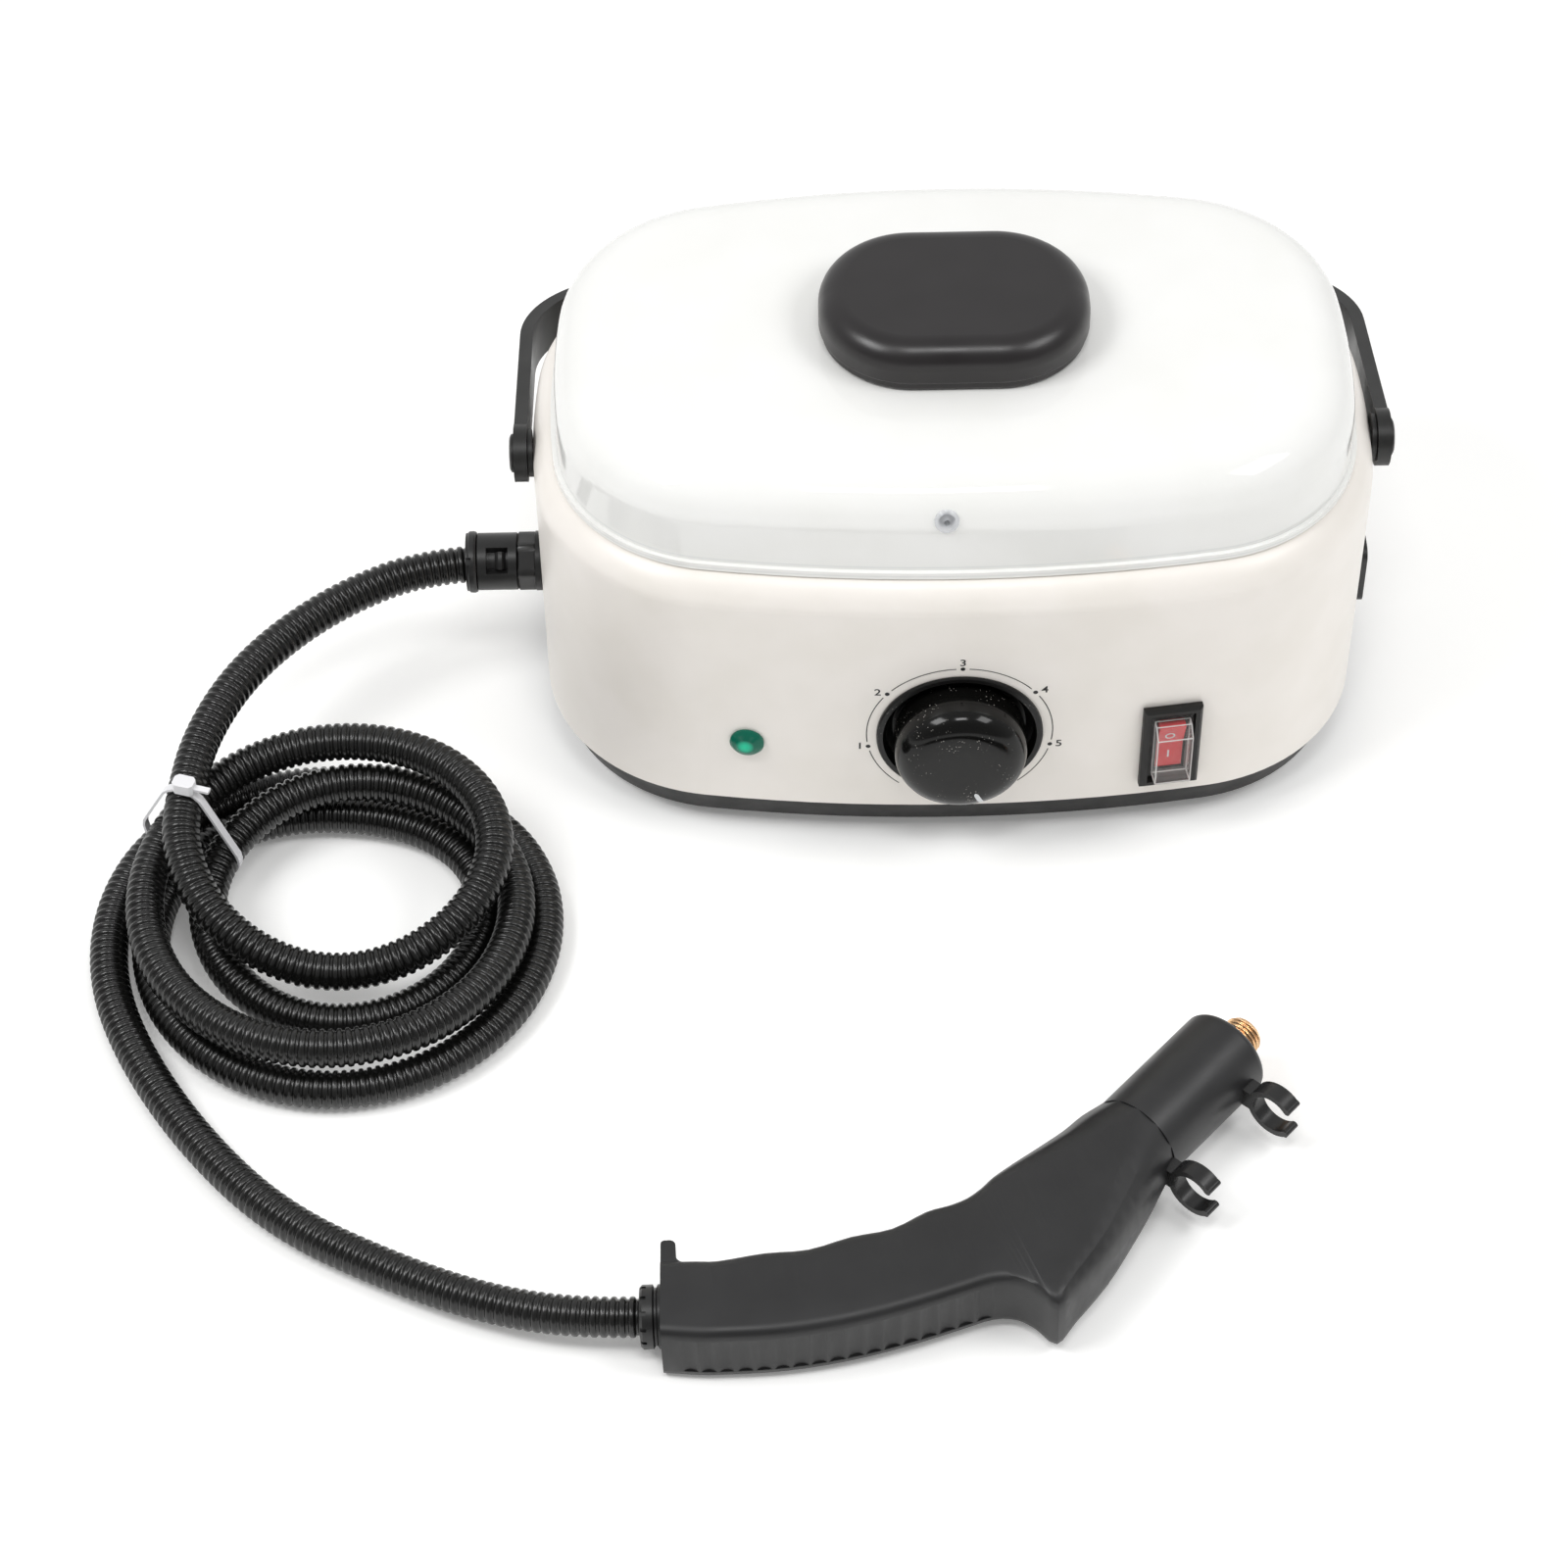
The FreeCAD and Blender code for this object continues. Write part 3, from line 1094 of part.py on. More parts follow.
def make_cable_tie(wires):
    """White cable tie: a band round the lead and the coil's inner strands, and its head on top."""
    place = tie_plane()
    through_way = place.Rotation.multVec(V(0, 0, 1))
    centres = []
    for shift in (-TIE_WIDTH / 2, 0.0, TIE_WIDTH / 2):
        plane = Part.makePlane(160, 120, place.Base + through_way * shift, through_way,
                               place.Rotation.multVec(V(1, 0, 0)))
        for wire in wires:
            for vertex in wire.section(plane).Vertexes:
                local = place.inverse().multVec(vertex.Point)
                if local.x < TIE_REACH:
                    centres.append((local.x, local.y))
    inside = float(S.hose_radius) + TIE_GAP
    through = V(0, 0, TIE_WIDTH)
    band = Part.Face(loop_round(centres, inside + TIE_THICKNESS)).extrude(through)
    band = band.cut(Part.Face(loop_round(centres, inside)).extrude(through))
    x, y = max(centres, key=lambda c: c[1])
    seat = y + inside + 0.3
    head = Part.makeBox(9, 5, 6.6, V(x - 6.5, seat, TIE_WIDTH / 2 - 3.3))
    head = head.makeChamfer(1.4, [e for e in head.Edges if e.BoundBox.YLength > 4])
    tail_end = Part.makeBox(7, 1.2, TIE_WIDTH - 0.8, V(x - 13, seat + 1.6, 0.4))
    tie = band.fuse([head, tail_end])
    feature("cable_tie", tie, place.multiply(at(0, 0, -TIE_WIDTH / 2)))


# Steam gun: local X runs along the grip from the butt, Y to the finger side, Z up through its thickness

GUN_TILT = 1.3
GUN = FreeCAD.Placement(V(-123.5, -362, 15), FreeCAD.Rotation(V(0, 1, 0), -GUN_TILT))
COLLAR_SEAT = -2.0
# Cross-sections of the grip from the butt to the barrel: a point on the finger side, one on the palm side.
GRIP = [
    ((0, 16.2), (0, -18.6)), ((13, 16), (14, -20.2)), ((22, 15.8), (24, -20.4)), ((39.5, 18.7), (43, -19.9)),
    ((56, 19.7), (62, -17.6)), ((72.5, 25), (80, -13.8)), ((88, 28.1), (98, -8.6)), ((101.3, 35.5), (114, -3.2)),
    ((110, 38.1), (126, 0.7)), ((117, 41.2), (135, 0)), ((122.8, 45.7), (142.2, -4.6)), ((127.6, 50.8), (149.3, -11.6)),
    ((135.4, 57.5), (157.2, -2.4)), ((145.2, 65.7), (170.4, 13.3)), ((155.2, 74.5), (182.5, 31.8)),
    ((162.6, 82.5), (191.4, 46.8)),
]
FLARE_START = 9
SWITCH_CASE = 15.0
GRIP_SCREWS = [(24, 9), (97, 21), (147, 3), (178, 44)]
PALM_GROOVES = [10 + 7.1 * i for i in range(17)]
FLUTE_RADIUS = 6.0
FLUTE_DEPTH = 0.7
SEAM = V(185.2, 75.85, 0)
BARREL_WAY = V(math.cos(math.radians(float(S.barrel_angle))), math.sin(math.radians(float(S.barrel_angle))), 0)
BARREL_SIDE = BARREL_WAY.cross(V(0, 0, 1))
GRIP.append(tuple((end.x, end.y) for end in (SEAM - BARREL_SIDE * float(S.barrel_radius),
                                             SEAM + BARREL_SIDE * float(S.barrel_radius))))
BARREL = FreeCAD.Placement(SEAM, FreeCAD.Rotation(V(0, 0, 1).cross(BARREL_WAY), V(0, 0, 1), BARREL_WAY, "ZYX"))
BUTTON_WAY = (V(155.2, 74.5, 0) - V(127.6, 50.8, 0)).normalize()
BUTTON = FreeCAD.Placement(V(140.9, 61.7, 0), FreeCAD.Rotation(BUTTON_WAY, V(0, 0, -1), V(0, 0, 1).cross(BUTTON_WAY),
                                                              "XYZ"))


def grip_row(place):
    """The finger-side and the palm-side point at a place in the table, eased between its rows."""
    k = min(int(place), len(GRIP) - 2)
    t = place - k
    weights = (-t + 2 * t ** 2 - t ** 3, 2 - 5 * t ** 2 + 3 * t ** 3, t + 4 * t ** 2 - 3 * t ** 3, t ** 3 - t ** 2)
    rows = [GRIP[max(0, min(len(GRIP) - 1, k + n))] for n in (-1, 0, 1, 2)]
    return [V(*[sum(w * row[side][axis] for w, row in zip(weights, rows)) / 2 for axis in (0, 1)], 0)
            for side in (0, 1)]


def grip_section(place, inset, steps):
    """One cross-section of the grip, nearly square at the butt and round where it meets the barrel."""
    far, near = grip_row(place)
    share = max(0.0, (place - FLARE_START) / (len(GRIP) - 1.0 - FLARE_START))
    ease = share * share * (3 - 2 * share)
    thin, barrel = float(S.grip_thickness) / 2, float(S.barrel_radius)
    half = thin + (barrel - thin) * ease - inset
    across = (near - far).normalize()
    width = (near - far).Length - 2 * inset
    middle = (far + near) * 0.5
    corner = float(S.grip_round) + (barrel - float(S.grip_round)) * ease ** 1.5
    corner = max(1.0, min(corner, half - 0.05, width / 2 - 0.05) - inset / 2)
    points = []
    for turn_index, (sx, sz) in enumerate(((1, 1), (-1, 1), (-1, -1), (1, -1))):
        for j in range(steps + 1):
            swing = math.radians(90 * turn_index + 90.0 * j / steps)
            sideways = sx * (width / 2 - corner) + corner * math.cos(swing)
            points.append(middle + across * sideways + V(0, 0, sz * (half - corner) + corner * math.sin(swing)))
    return Part.makePolygon(points + points[:1])


def near_side(x):
    """The palm side's y at a length along the grip."""
    for (_, (x0, y0)), (_, (x1, y1)) in zip(GRIP, GRIP[1:]):
        if x0 <= x <= x1:
            return y0 + (y1 - y0) * (x - x0) / (x1 - x0)
    return GRIP[-1][1][1]


def grip_outside():
    """The grip's outside, through three sections for each row of the table."""
    count = 3 * (len(GRIP) - 1)
    return Part.makeLoft([grip_section(i / 3.0, 0.0, 3) for i in range(count + 1)], True, True)


def make_grip():
    """The gun's two half shells, split at mid thickness, with palm grooves, screw bosses and a button opening."""
    wall = float(S.grip_wall)
    outside = grip_outside()
    hook = Part.Face(Part.Wire([
        Part.makePolygon([V(0, 12, -12), V(0, 24.2, -12)]),
        Part.Arc(V(0, 24.2, -12), V(0.5, 25.4, -12), V(1.7, 25.9, -12)).toShape(),
        Part.makePolygon([V(1.7, 25.9, -12), V(3.6, 25.9, -12)]),
        Part.Arc(V(3.6, 25.9, -12), V(5.1, 25.2, -12), V(5.8, 23.6, -12)).toShape(),
        Part.makePolygon([V(5.8, 23.6, -12), V(5.8, 18.8, -12)]),
        Part.Arc(V(5.8, 18.8, -12), V(6.7, 16.5, -12), V(9.2, 15.6, -12)).toShape(),
        Part.makePolygon([V(9.2, 15.6, -12), V(9.2, 12, -12), V(0, 12, -12)])])).extrude(V(0, 0, 24))
    cavity = Part.makeLoft([grip_section(i, wall, 1) for i in (1, 3, 5, 7, 9, 11, 13, 15, 16)], True, True)
    shell = outside.fuse(hook).cut(cavity)
    grooves = [Part.makeCylinder(FLUTE_RADIUS, 19, V(x, near_side(x) + FLUTE_DEPTH - FLUTE_RADIUS, -9.5))
               for x in PALM_GROOVES]
    shell = shell.cut(Part.makeCompound(grooves))
    bosses = [Part.makeCylinder(4.4, 44, V(x, y, -22)) for x, y in GRIP_SCREWS]
    shell = shell.fuse([boss.common(outside) for boss in bosses])
    shell = shell.cut(Part.makeCylinder(8.05, 16, V(-1, COLLAR_Y, 0), V(1, 0, 0)))
    length, width = float(S.button_length), float(S.button_width)
    shell = shell.cut(block(BUTTON, length + 0.8, width + 0.8, -12, 12))
    shell = shell.cut(block(BUTTON, length + 3.8, width + 3.8, -12, -4.3))
    ribs = [block(BUTTON, 2.0, 60, -20, -9, side * (SWITCH_CASE / 2 + 1.1)).common(outside) for side in (-1, 1)]
    shell = shell.fuse(ribs)
    radius = float(S.gun_screw_radius)
    drills = []
    for x, y in GRIP_SCREWS:
        drills.append(Part.makeCylinder(radius + 0.05, 19, V(x, y, -11)))
        drills.append(Part.makeCylinder(3.1, 20, V(x, y, -30)))
    shell = shell.cut(Part.makeCompound(drills))
    upper_half = Part.makeBox(400, 300, 60, V(-100, -100, 0))
    feature("grip_shell_upper", shell.common(upper_half), GUN)
    feature("grip_shell_lower", shell.cut(upper_half), GUN)
    screw = [(0, -10), (radius, -10), (radius, 7.9), (0, 7.9)]
    head = [(0, -12), (2.4, -12), (2.9, -11), (2.9, -10), (0, -10)]
    screws = [turned_solid(screw, at(x, y, 0)).fuse(turned_solid(head, at(x, y, 0))).removeSplitter()
              for x, y in GRIP_SCREWS]
    feature("grip_screws", Part.makeCompound(screws), GUN)


COLLAR_Y = -0.8


def make_collar():
    """Slotted collar that grips the hose at the butt, with a spigot into the grip."""
    radius, length = float(S.collar_radius), float(S.collar_length)
    hose, bore = float(S.hose_radius) + 0.3, float(S.hose_bore) + 0.3
    ring = turned_solid([(hose, -length), (radius - 1, -length), (radius, -length + 1), (radius, -3.2), (radius - 1.2, -2.6),
                         (radius - 1.2, -1.8), (radius, -1.2), (radius, -0.02), (8.0, -0.02), (8.0, 12.9), (bore, 12.9),
                         (bore, COLLAR_SEAT), (hose, COLLAR_SEAT)])
    for i in range(12):
        slot = Part.makeBox(1.6, 1.4, 3.0, V(-0.8, radius - 1.0, -length - 0.5))
        slot.rotate(V(0, 0, 0), V(0, 0, 1), 30 * i)
        ring = ring.cut(slot)
    feature("hose_collar", ring, GUN.multiply(at(0, COLLAR_Y, 0, (1, 0, 0))))


def make_barrel():
    """Barrel sleeve, brass nozzle in its front wall and the tube that feeds it."""
    radius, length = float(S.barrel_radius), float(S.barrel_length)
    nozzle, out = float(S.nozzle_radius), float(S.nozzle_out)
    place = GUN.multiply(BARREL)
    sleeve = new_body("barrel_sleeve")
    profile = new_sketch(sleeve, "barrel_sleeve_profile", "XZ_Plane")
    outline(profile, [(S.nozzle_radius + 0.63, S.barrel_length - 4.0), (S.barrel_radius - 2.6, S.barrel_length - 4.0),
                      (S.barrel_radius - 2.6, 0.02), (S.barrel_radius, 0.02), (S.barrel_radius, S.barrel_length),
                      (S.nozzle_radius + 0.63, S.barrel_length)])
    turn(sleeve, "barrel_sleeve_turn", profile)
    soften(sleeve, "barrel_sleeve_mouth", 3.0,
           lambda m, t: abs(m.z - length) < 0.01 and math.hypot(m.x, m.y) > radius - 0.1)
    sleeve.Placement = place
    face = length - 4.0
    turned_piece("brass_nozzle", [(S.nozzle_bore, face - 16), (5.0, face - 16), (5.0, face - 4), (12.0, face - 4),
                                  (12.0, face - 0.02), (nozzle + 0.6, face - 0.02), (nozzle + 0.6, length + 0.3),
                                  (nozzle - 0.6, length + 0.3), (nozzle - 0.6, length + 0.9), (nozzle, length + 0.9),
                                  (nozzle, length + out - 1.0), (nozzle - 1.0, length + out),
                                  (S.nozzle_bore, length + out)], place)
    feed_end = SEAM + BARREL_WAY * (face - 16.1)
    wire, _ = rounded_path([V(13.0, COLLAR_Y, 0), V(50, COLLAR_Y, 0), V(88, 5, 0), V(122, 12, 0), V(150, 24, 0),
                            feed_end - BARREL_WAY * 20, feed_end])
    feature("gun_steam_tube", swept(wire, 4.2), GUN)


CLIP_BACK = 11.6
CLIP_TIP = 1.5


def make_clips():
    """Two open snap rings beside the barrel, each on a neck with a short rib, for holding another pipe."""
    inner, outer = float(S.clip_inner), float(S.clip_inner + S.clip_wall)
    radius, reach, width = float(S.barrel_radius), float(S.clip_reach), float(S.clip_width)
    opening = math.atan2(19, 20)
    along, sideways = (inner + CLIP_TIP + 0.05) * math.cos(opening), (inner + CLIP_TIP + 0.05) * math.sin(opening)
    clips = []
    for back in (CLIP_BACK, CLIP_BACK + float(S.clip_spacing)):
        start = float(S.barrel_length) - back - width / 2
        ring = Part.makeCylinder(outer, width, V(0, 0, start))
        neck = Part.makeBox(reach, 9, width, V(-reach, -4.5, start))
        rib = Part.makeBox(reach - radius + 2, 2.4, 4, V(-reach + radius - 1, 4.4, start + width / 2 - 2))
        clip = ring.fuse([neck, rib]).cut(Part.makeCylinder(inner, width + 2, V(0, 0, start - 1)))
        mouth = Part.Face(Part.makePolygon([V(0, 0, start - 1), V(20, -19, start - 1), V(20, 19, start - 1),
                                            V(0, 0, start - 1)])).extrude(V(0, 0, width + 2))
        tips = [Part.makeCylinder(CLIP_TIP, width, V(along, side * sideways, start)) for side in (-1, 1)]
        clip = clip.cut(mouth).fuse(tips)
        clip = clip.cut(Part.makeCylinder(radius, width + 20, V(-reach, 0, start - 5)))
        clip.Placement = FreeCAD.Placement(SEAM + BARREL_SIDE * reach,
                                           FreeCAD.Rotation(BARREL_SIDE, V(0, 0, 1), BARREL_WAY, "ZXY"))
        clips.append(clip.cut(grip_outside()).removeSplitter())
    feature("accessory_clips", Part.makeCompound(clips), GUN)


def make_button():
    """Steam button in the grip's finger side, and the switch behind it."""
    length, width, out = S.button_length, S.button_width, S.button_out
    button = new_body("steam_button")
    cap = new_sketch(button, "steam_button_plan", "XY_Plane", -4.6)
    rectangle(cap, length, width)
    pad(button, "steam_button_cap", cap, out + 4.6)
    soften(button, "steam_button_ends", 3.0, lambda m, t: abs(t.z) > 0.9)
    soften(button, "steam_button_edge", 1.4, lambda m, t: m.z > float(out) - 0.01)
    rim = new_sketch(button, "steam_button_rim", "XY_Plane", -4.6)
    rectangle(rim, length + 3.0, width + 3.0)
    pad(button, "steam_button_flange", rim, 1.2, down=True)
    button.Placement = GUN.multiply(BUTTON)
    rest = -5.8 - float(S.button_travel) - 0.3
    plunger = block(BUTTON, 4, 4, rest - 3, rest)
    case = block(BUTTON, SWITCH_CASE, 8, rest - 10, rest - 2)
    feature("button_switch", case.fuse(plunger), GUN)


for build in (make_body_shell, make_base, make_feet, make_base_screws, make_water_tank, make_tank_filter, make_lid,
              make_lid_vent, make_knob, make_dial, make_lamp, make_switch, make_gland, make_inlet, make_handle,
              make_handle_pins, make_pump, make_boiler, make_tubes, make_control_board, make_grip, make_collar,
              make_barrel, make_clips, make_button, make_hose):
    build()


# Writing out

def finish_and_write():
    doc.recompute()
    for thing in doc.Objects:
        if "Invalid" in thing.State or "Error" in thing.State:
            raise ValueError("%s failed: %s" % (thing.Name, thing.State))
    os.makedirs("parts", exist_ok=True)
    for piece in PARTS:
        shape = piece.Shape
        if shape.isNull() or not shape.isValid():
            raise ValueError("%s has no valid shape" % piece.Label)
        shape.exportStep("parts/%s.step" % piece.Label)
    print("%d nodes, %d solids" % (len(PARTS), sum(len(p.Shape.Solids) for p in PARTS)))


finish_and_write()
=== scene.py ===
"""Wallpaper steamer: a white housing with a clear lid, its controls, a coiled hose and a steam gun."""

import json
import math

import bmesh
import bpy
from mathutils import Matrix, Vector
from mathutils.bvhtree import BVHTree


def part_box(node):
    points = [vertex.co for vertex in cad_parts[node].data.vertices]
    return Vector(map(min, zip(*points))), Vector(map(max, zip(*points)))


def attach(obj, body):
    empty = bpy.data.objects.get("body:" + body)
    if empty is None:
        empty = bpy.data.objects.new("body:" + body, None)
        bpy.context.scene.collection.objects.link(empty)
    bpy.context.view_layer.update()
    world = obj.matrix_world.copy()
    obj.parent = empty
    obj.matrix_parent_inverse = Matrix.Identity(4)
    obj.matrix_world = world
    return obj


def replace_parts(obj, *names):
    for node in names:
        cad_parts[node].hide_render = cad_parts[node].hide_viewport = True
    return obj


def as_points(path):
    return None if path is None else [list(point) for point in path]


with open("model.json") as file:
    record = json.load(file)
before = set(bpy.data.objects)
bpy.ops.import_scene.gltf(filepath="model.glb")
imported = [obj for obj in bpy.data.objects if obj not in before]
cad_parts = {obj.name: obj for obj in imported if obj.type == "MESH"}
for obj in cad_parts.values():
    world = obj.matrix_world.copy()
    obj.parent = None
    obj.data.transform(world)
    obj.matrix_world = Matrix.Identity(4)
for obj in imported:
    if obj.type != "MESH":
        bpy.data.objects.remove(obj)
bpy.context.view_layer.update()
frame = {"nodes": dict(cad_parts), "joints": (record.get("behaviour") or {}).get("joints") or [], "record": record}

MM = 0.001
# Height of each faint step round the lid's rim, in millimetres.
RIM_STEP = 3.206
nodes = frame["nodes"]
mounts = {mount["name"]: mount for mount in frame["record"]["mounts"]}


# Small helpers

def mm(x, y, z):
    """A point given in millimetres."""
    return Vector((x, y, z)) * MM


def linear(hex_colour):
    """An sRGB hex colour as the linear colour that shaders take."""
    shares = [int(hex_colour[i:i + 2], 16) / 255 for i in (1, 3, 5)]
    return tuple(c / 12.92 if c <= 0.04045 else ((c + 0.055) / 1.055) ** 2.4 for c in shares) + (1.0,)


def per_metre(size_mm):
    """A pattern's scale from the size of its grain in millimetres."""
    return 1.0 / (size_mm * MM)


def add(material, kind, inputs=None, **settings):
    """Adds one node with its settings. An input is a value, or another node's output to link."""
    node = material.node_tree.nodes.new("ShaderNode" + kind)
    for name, value in settings.items():
        setattr(node, name, value)
    for name, value in (inputs or {}).items():
        if isinstance(value, bpy.types.NodeSocket):
            material.node_tree.links.new(value, node.inputs[name])
        else:
            node.inputs[name].default_value = value
    return node


def new_material(name):
    """An empty node material and the place on the object that its patterns follow."""
    material = bpy.data.materials.new(name)
    material.use_nodes = True
    material.node_tree.nodes.clear()
    return material, add(material, "TexCoord").outputs["Object"]


# Materials

def moulded(name, dark, light, gloss, grain_mm, depth_mm, ior=1.5, dust=0.0):
    """Injection-moulded plastic: a colour that drifts a little, grain from the mould that breaks up the
    shine, faint sink marks, and on some parts specks of dust."""
    material, place = new_material(name)
    drift = add(material, "TexNoise", {"Vector": place, "Scale": per_metre(30.0),
                                       "Detail": 2.0}).outputs["Fac"]
    share = add(material, "MapRange", {"Value": drift, "From Min": 0.35, "From Max": 0.65}).outputs["Result"]
    colour = add(material, "Mix", {0: share, 6: linear(dark), 7: linear(light)}, data_type="RGBA").outputs[2]
    handled = add(material, "TexNoise", {"Vector": place, "Scale": per_metre(16.0),
                                         "Detail": 3.0}).outputs["Fac"]
    shine = add(material, "MapRange", {"Value": handled, "From Min": 0.3, "From Max": 0.7,
                                       "To Min": gloss * 0.9, "To Max": gloss * 1.15}).outputs["Result"]
    if dust:
        specks = add(material, "TexVoronoi", {"Vector": place, "Scale": per_metre(1.3)}).outputs["Distance"]
        patches = add(material, "TexNoise", {"Vector": place, "Scale": per_metre(11.0),
                                             "Detail": 2.0}).outputs["Fac"]
        reach = add(material, "MapRange", {"Value": patches, "From Min": 0.44, "From Max": 0.66,
                                           "To Min": 0.0,
                                           "To Max": 0.2}).outputs["Result"]
        speck = add(material, "Math", {0: specks, 1: reach}, operation="LESS_THAN").outputs[0]
        share = add(material, "Math", {0: speck, 1: dust}, operation="MULTIPLY").outputs[0]
        colour = add(material, "Mix", {0: share, 6: colour, 7: linear("#B4B1AB")},
                     data_type="RGBA").outputs[2]
    waves = add(material, "TexNoise", {"Vector": place, "Scale": per_metre(24.0),
                                       "Detail": 1.0}).outputs["Fac"]
    sink = add(material, "Bump", {"Height": waves, "Distance": 0.04 * MM}).outputs["Normal"]
    grit = add(material, "TexNoise", {"Vector": place, "Scale": per_metre(grain_mm),
                                      "Detail": 4.0}).outputs["Fac"]
    grain = add(material, "Bump", {"Height": grit, "Distance": depth_mm * MM,
                                   "Normal": sink}).outputs["Normal"]
    shader = add(material, "BsdfPrincipled", {"Base Color": colour, "Roughness": shine, "Normal": grain,
                                              "IOR": ior})
    add(material, "OutputMaterial", {"Surface": shader.outputs[0]})
    return material


def see_through(name, haze_dark, haze_light, haze, rim_haze, gloss, ripple_mm, ripple_depth_mm, rim=None):
    """Thin clear plastic: what lies behind shows through a slight milky haze that thickens where the wall is seen
    at a slant, and lamps glint sharply on it. A rim, from its lowest height to its top, has faint steps round it,
    shown as painted shade: faint grey lines."""
    material, place = new_material(name)
    drift = add(material, "TexNoise", {"Vector": place, "Scale": per_metre(35.0),
                                       "Detail": 2.0}).outputs["Fac"]
    share = add(material, "MapRange", {"Value": drift, "From Min": 0.3, "From Max": 0.7}).outputs["Result"]
    milk = add(material, "Mix", {0: share, 6: linear(haze_dark), 7: linear(haze_light)},
               data_type="RGBA").outputs[2]
    # Painted shade: faint grey lines below the rim's top stand in for the shade of its small steps.
    if rim:
        height = add(material, "SeparateXYZ", {0: place}).outputs["Z"]
        bands = add(material, "TexWave", {"Vector": place, "Scale": math.pi / 10 * per_metre(RIM_STEP)},
                    bands_direction="Z").outputs["Fac"]
        lines = add(material, "Math", {0: bands, 1: 6.0}, operation="POWER").outputs[0]
        below = add(material, "MapRange", {"Value": height, "From Min": rim[1] - 1.5 * MM, "From Max": rim[1],
                                           "To Min": 1.0, "To Max": 0.0}).outputs["Result"]
        faint = add(material, "Math", {0: lines, 1: below}, operation="MULTIPLY").outputs[0]
        share = add(material, "Math", {0: faint, 1: 0.5}, operation="MULTIPLY").outputs[0]
        milk = add(material, "Mix", {0: share, 6: milk, 7: linear("#DDE0DF")}, data_type="RGBA").outputs[2]
    waves = add(material, "TexNoise", {"Vector": place, "Scale": per_metre(ripple_mm),
                                       "Detail": 1.0}).outputs["Fac"]
    ripple = add(material, "Bump", {"Height": waves, "Distance": ripple_depth_mm * MM}).outputs["Normal"]
    shine = add(material, "MapRange", {"Value": drift, "From Min": 0.3, "From Max": 0.7,
                                       "To Min": gloss * 0.8,
                                       "To Max": gloss * 1.3}).outputs["Result"]
    shell = add(material, "BsdfPrincipled", {"Base Color": milk, "Roughness": shine, "Normal": ripple,
                                             "IOR": 1.5})
    window = add(material, "BsdfTransparent")
    slant = add(material, "LayerWeight", {"Blend": 0.3, "Normal": ripple}).outputs["Facing"]
    graze = add(material, "Math", {0: slant, 1: 3.0}, operation="POWER").outputs[0]
    cover = add(material, "MapRange", {"Value": graze, "To Min": haze, "To Max": rim_haze}).outputs["Result"]
    blend = add(material, "MixShader", {"Fac": cover, 1: window.outputs[0], 2: shell.outputs[0]})
    add(material, "OutputMaterial", {"Surface": blend.outputs[0]})
    return material


def turned_metal(name, dark, light, gloss, groove_mm):
    """Metal cut on a lathe or drawn: bright, with fine tool lines and a few duller spots where it was
    handled."""
    material, place = new_material(name)
    spots = add(material, "TexNoise", {"Vector": place, "Scale": per_metre(3.0),
                                       "Detail": 4.0}).outputs["Fac"]
    share = add(material, "MapRange", {"Value": spots, "From Min": 0.3, "From Max": 0.7}).outputs["Result"]
    colour = add(material, "Mix", {0: share, 6: linear(dark), 7: linear(light)}, data_type="RGBA").outputs[2]
    shine = add(material, "MapRange", {"Value": spots, "From Min": 0.3, "From Max": 0.7,
                                       "To Min": gloss * 1.4,
                                       "To Max": gloss * 0.75}).outputs["Result"]
    cuts = add(material, "TexNoise", {"Vector": place, "Scale": per_metre(groove_mm),
                                      "Detail": 3.0}).outputs["Fac"]
    lines = add(material, "Bump", {"Height": cuts, "Distance": 0.02 * MM}).outputs["Normal"]
    shader = add(material, "BsdfPrincipled", {"Base Color": colour, "Roughness": shine, "Normal": lines,
                                              "Metallic": 1.0})
    add(material, "OutputMaterial", {"Surface": shader.outputs[0]})
    return material


def prismatic_lens(name, centre, radius_mm):
    """Green lamp lens: rows of tiny prisms with a painted sparkle, their cells lighter in the middle, inside a
    plain ring that is darker at its edge, and a painted glow over it all.
    """
    material, place = new_material(name)
    middle = add(material, "VectorMath", {0: place, 1: centre}, operation="DISTANCE").outputs["Value"]
    prisms = add(material, "TexVoronoi", {"Vector": place, "Scale": per_metre(0.9), "Randomness": 0.15})
    inner = add(material, "MapRange", {"Value": middle, "From Min": 0.60 * radius_mm * MM,
                                       "From Max": 0.68 * radius_mm * MM, "To Min": 1.0,
                                       "To Max": 0.0}).outputs["Result"]
    depth = add(material, "Math", {0: prisms.outputs["Distance"], 1: inner}, operation="MULTIPLY").outputs[0]
    sparkle_mask = add(material, "MapRange", {"Value": depth, "From Min": 0.1, "From Max": 0.6}).outputs["Result"]
    # Painted sparkle: the middle of each prism cell is a lighter green than its edge.
    painted_sparkle = add(material, "Mix", {0: sparkle_mask, 6: linear("#1AD3A4"), 7: linear("#0F9F7A")},
              data_type="RGBA").outputs[2]
    edge = add(material, "MapRange", {"Value": middle, "From Min": 0.66 * radius_mm * MM,
                                      "From Max": 0.92 * radius_mm * MM}).outputs["Result"]
    colour = add(material, "Mix", {0: edge, 6: painted_sparkle, 7: linear("#0A4C3C")}, data_type="RGBA").outputs[2]
    facets = add(material, "Bump", {"Height": depth, "Distance": 0.25 * MM}).outputs["Normal"]
    # Painted glow: the lens gives off light in its own colour, standing in for light scattered through the green
    # plastic.
    shader = add(material, "BsdfPrincipled", {"Base Color": colour, "Roughness": 0.12, "Normal": facets,
                                              "IOR": 1.32,
                                              "Emission Color": colour, "Emission Strength": 0.62})
    add(material, "OutputMaterial", {"Surface": shader.outputs[0]})
    return material


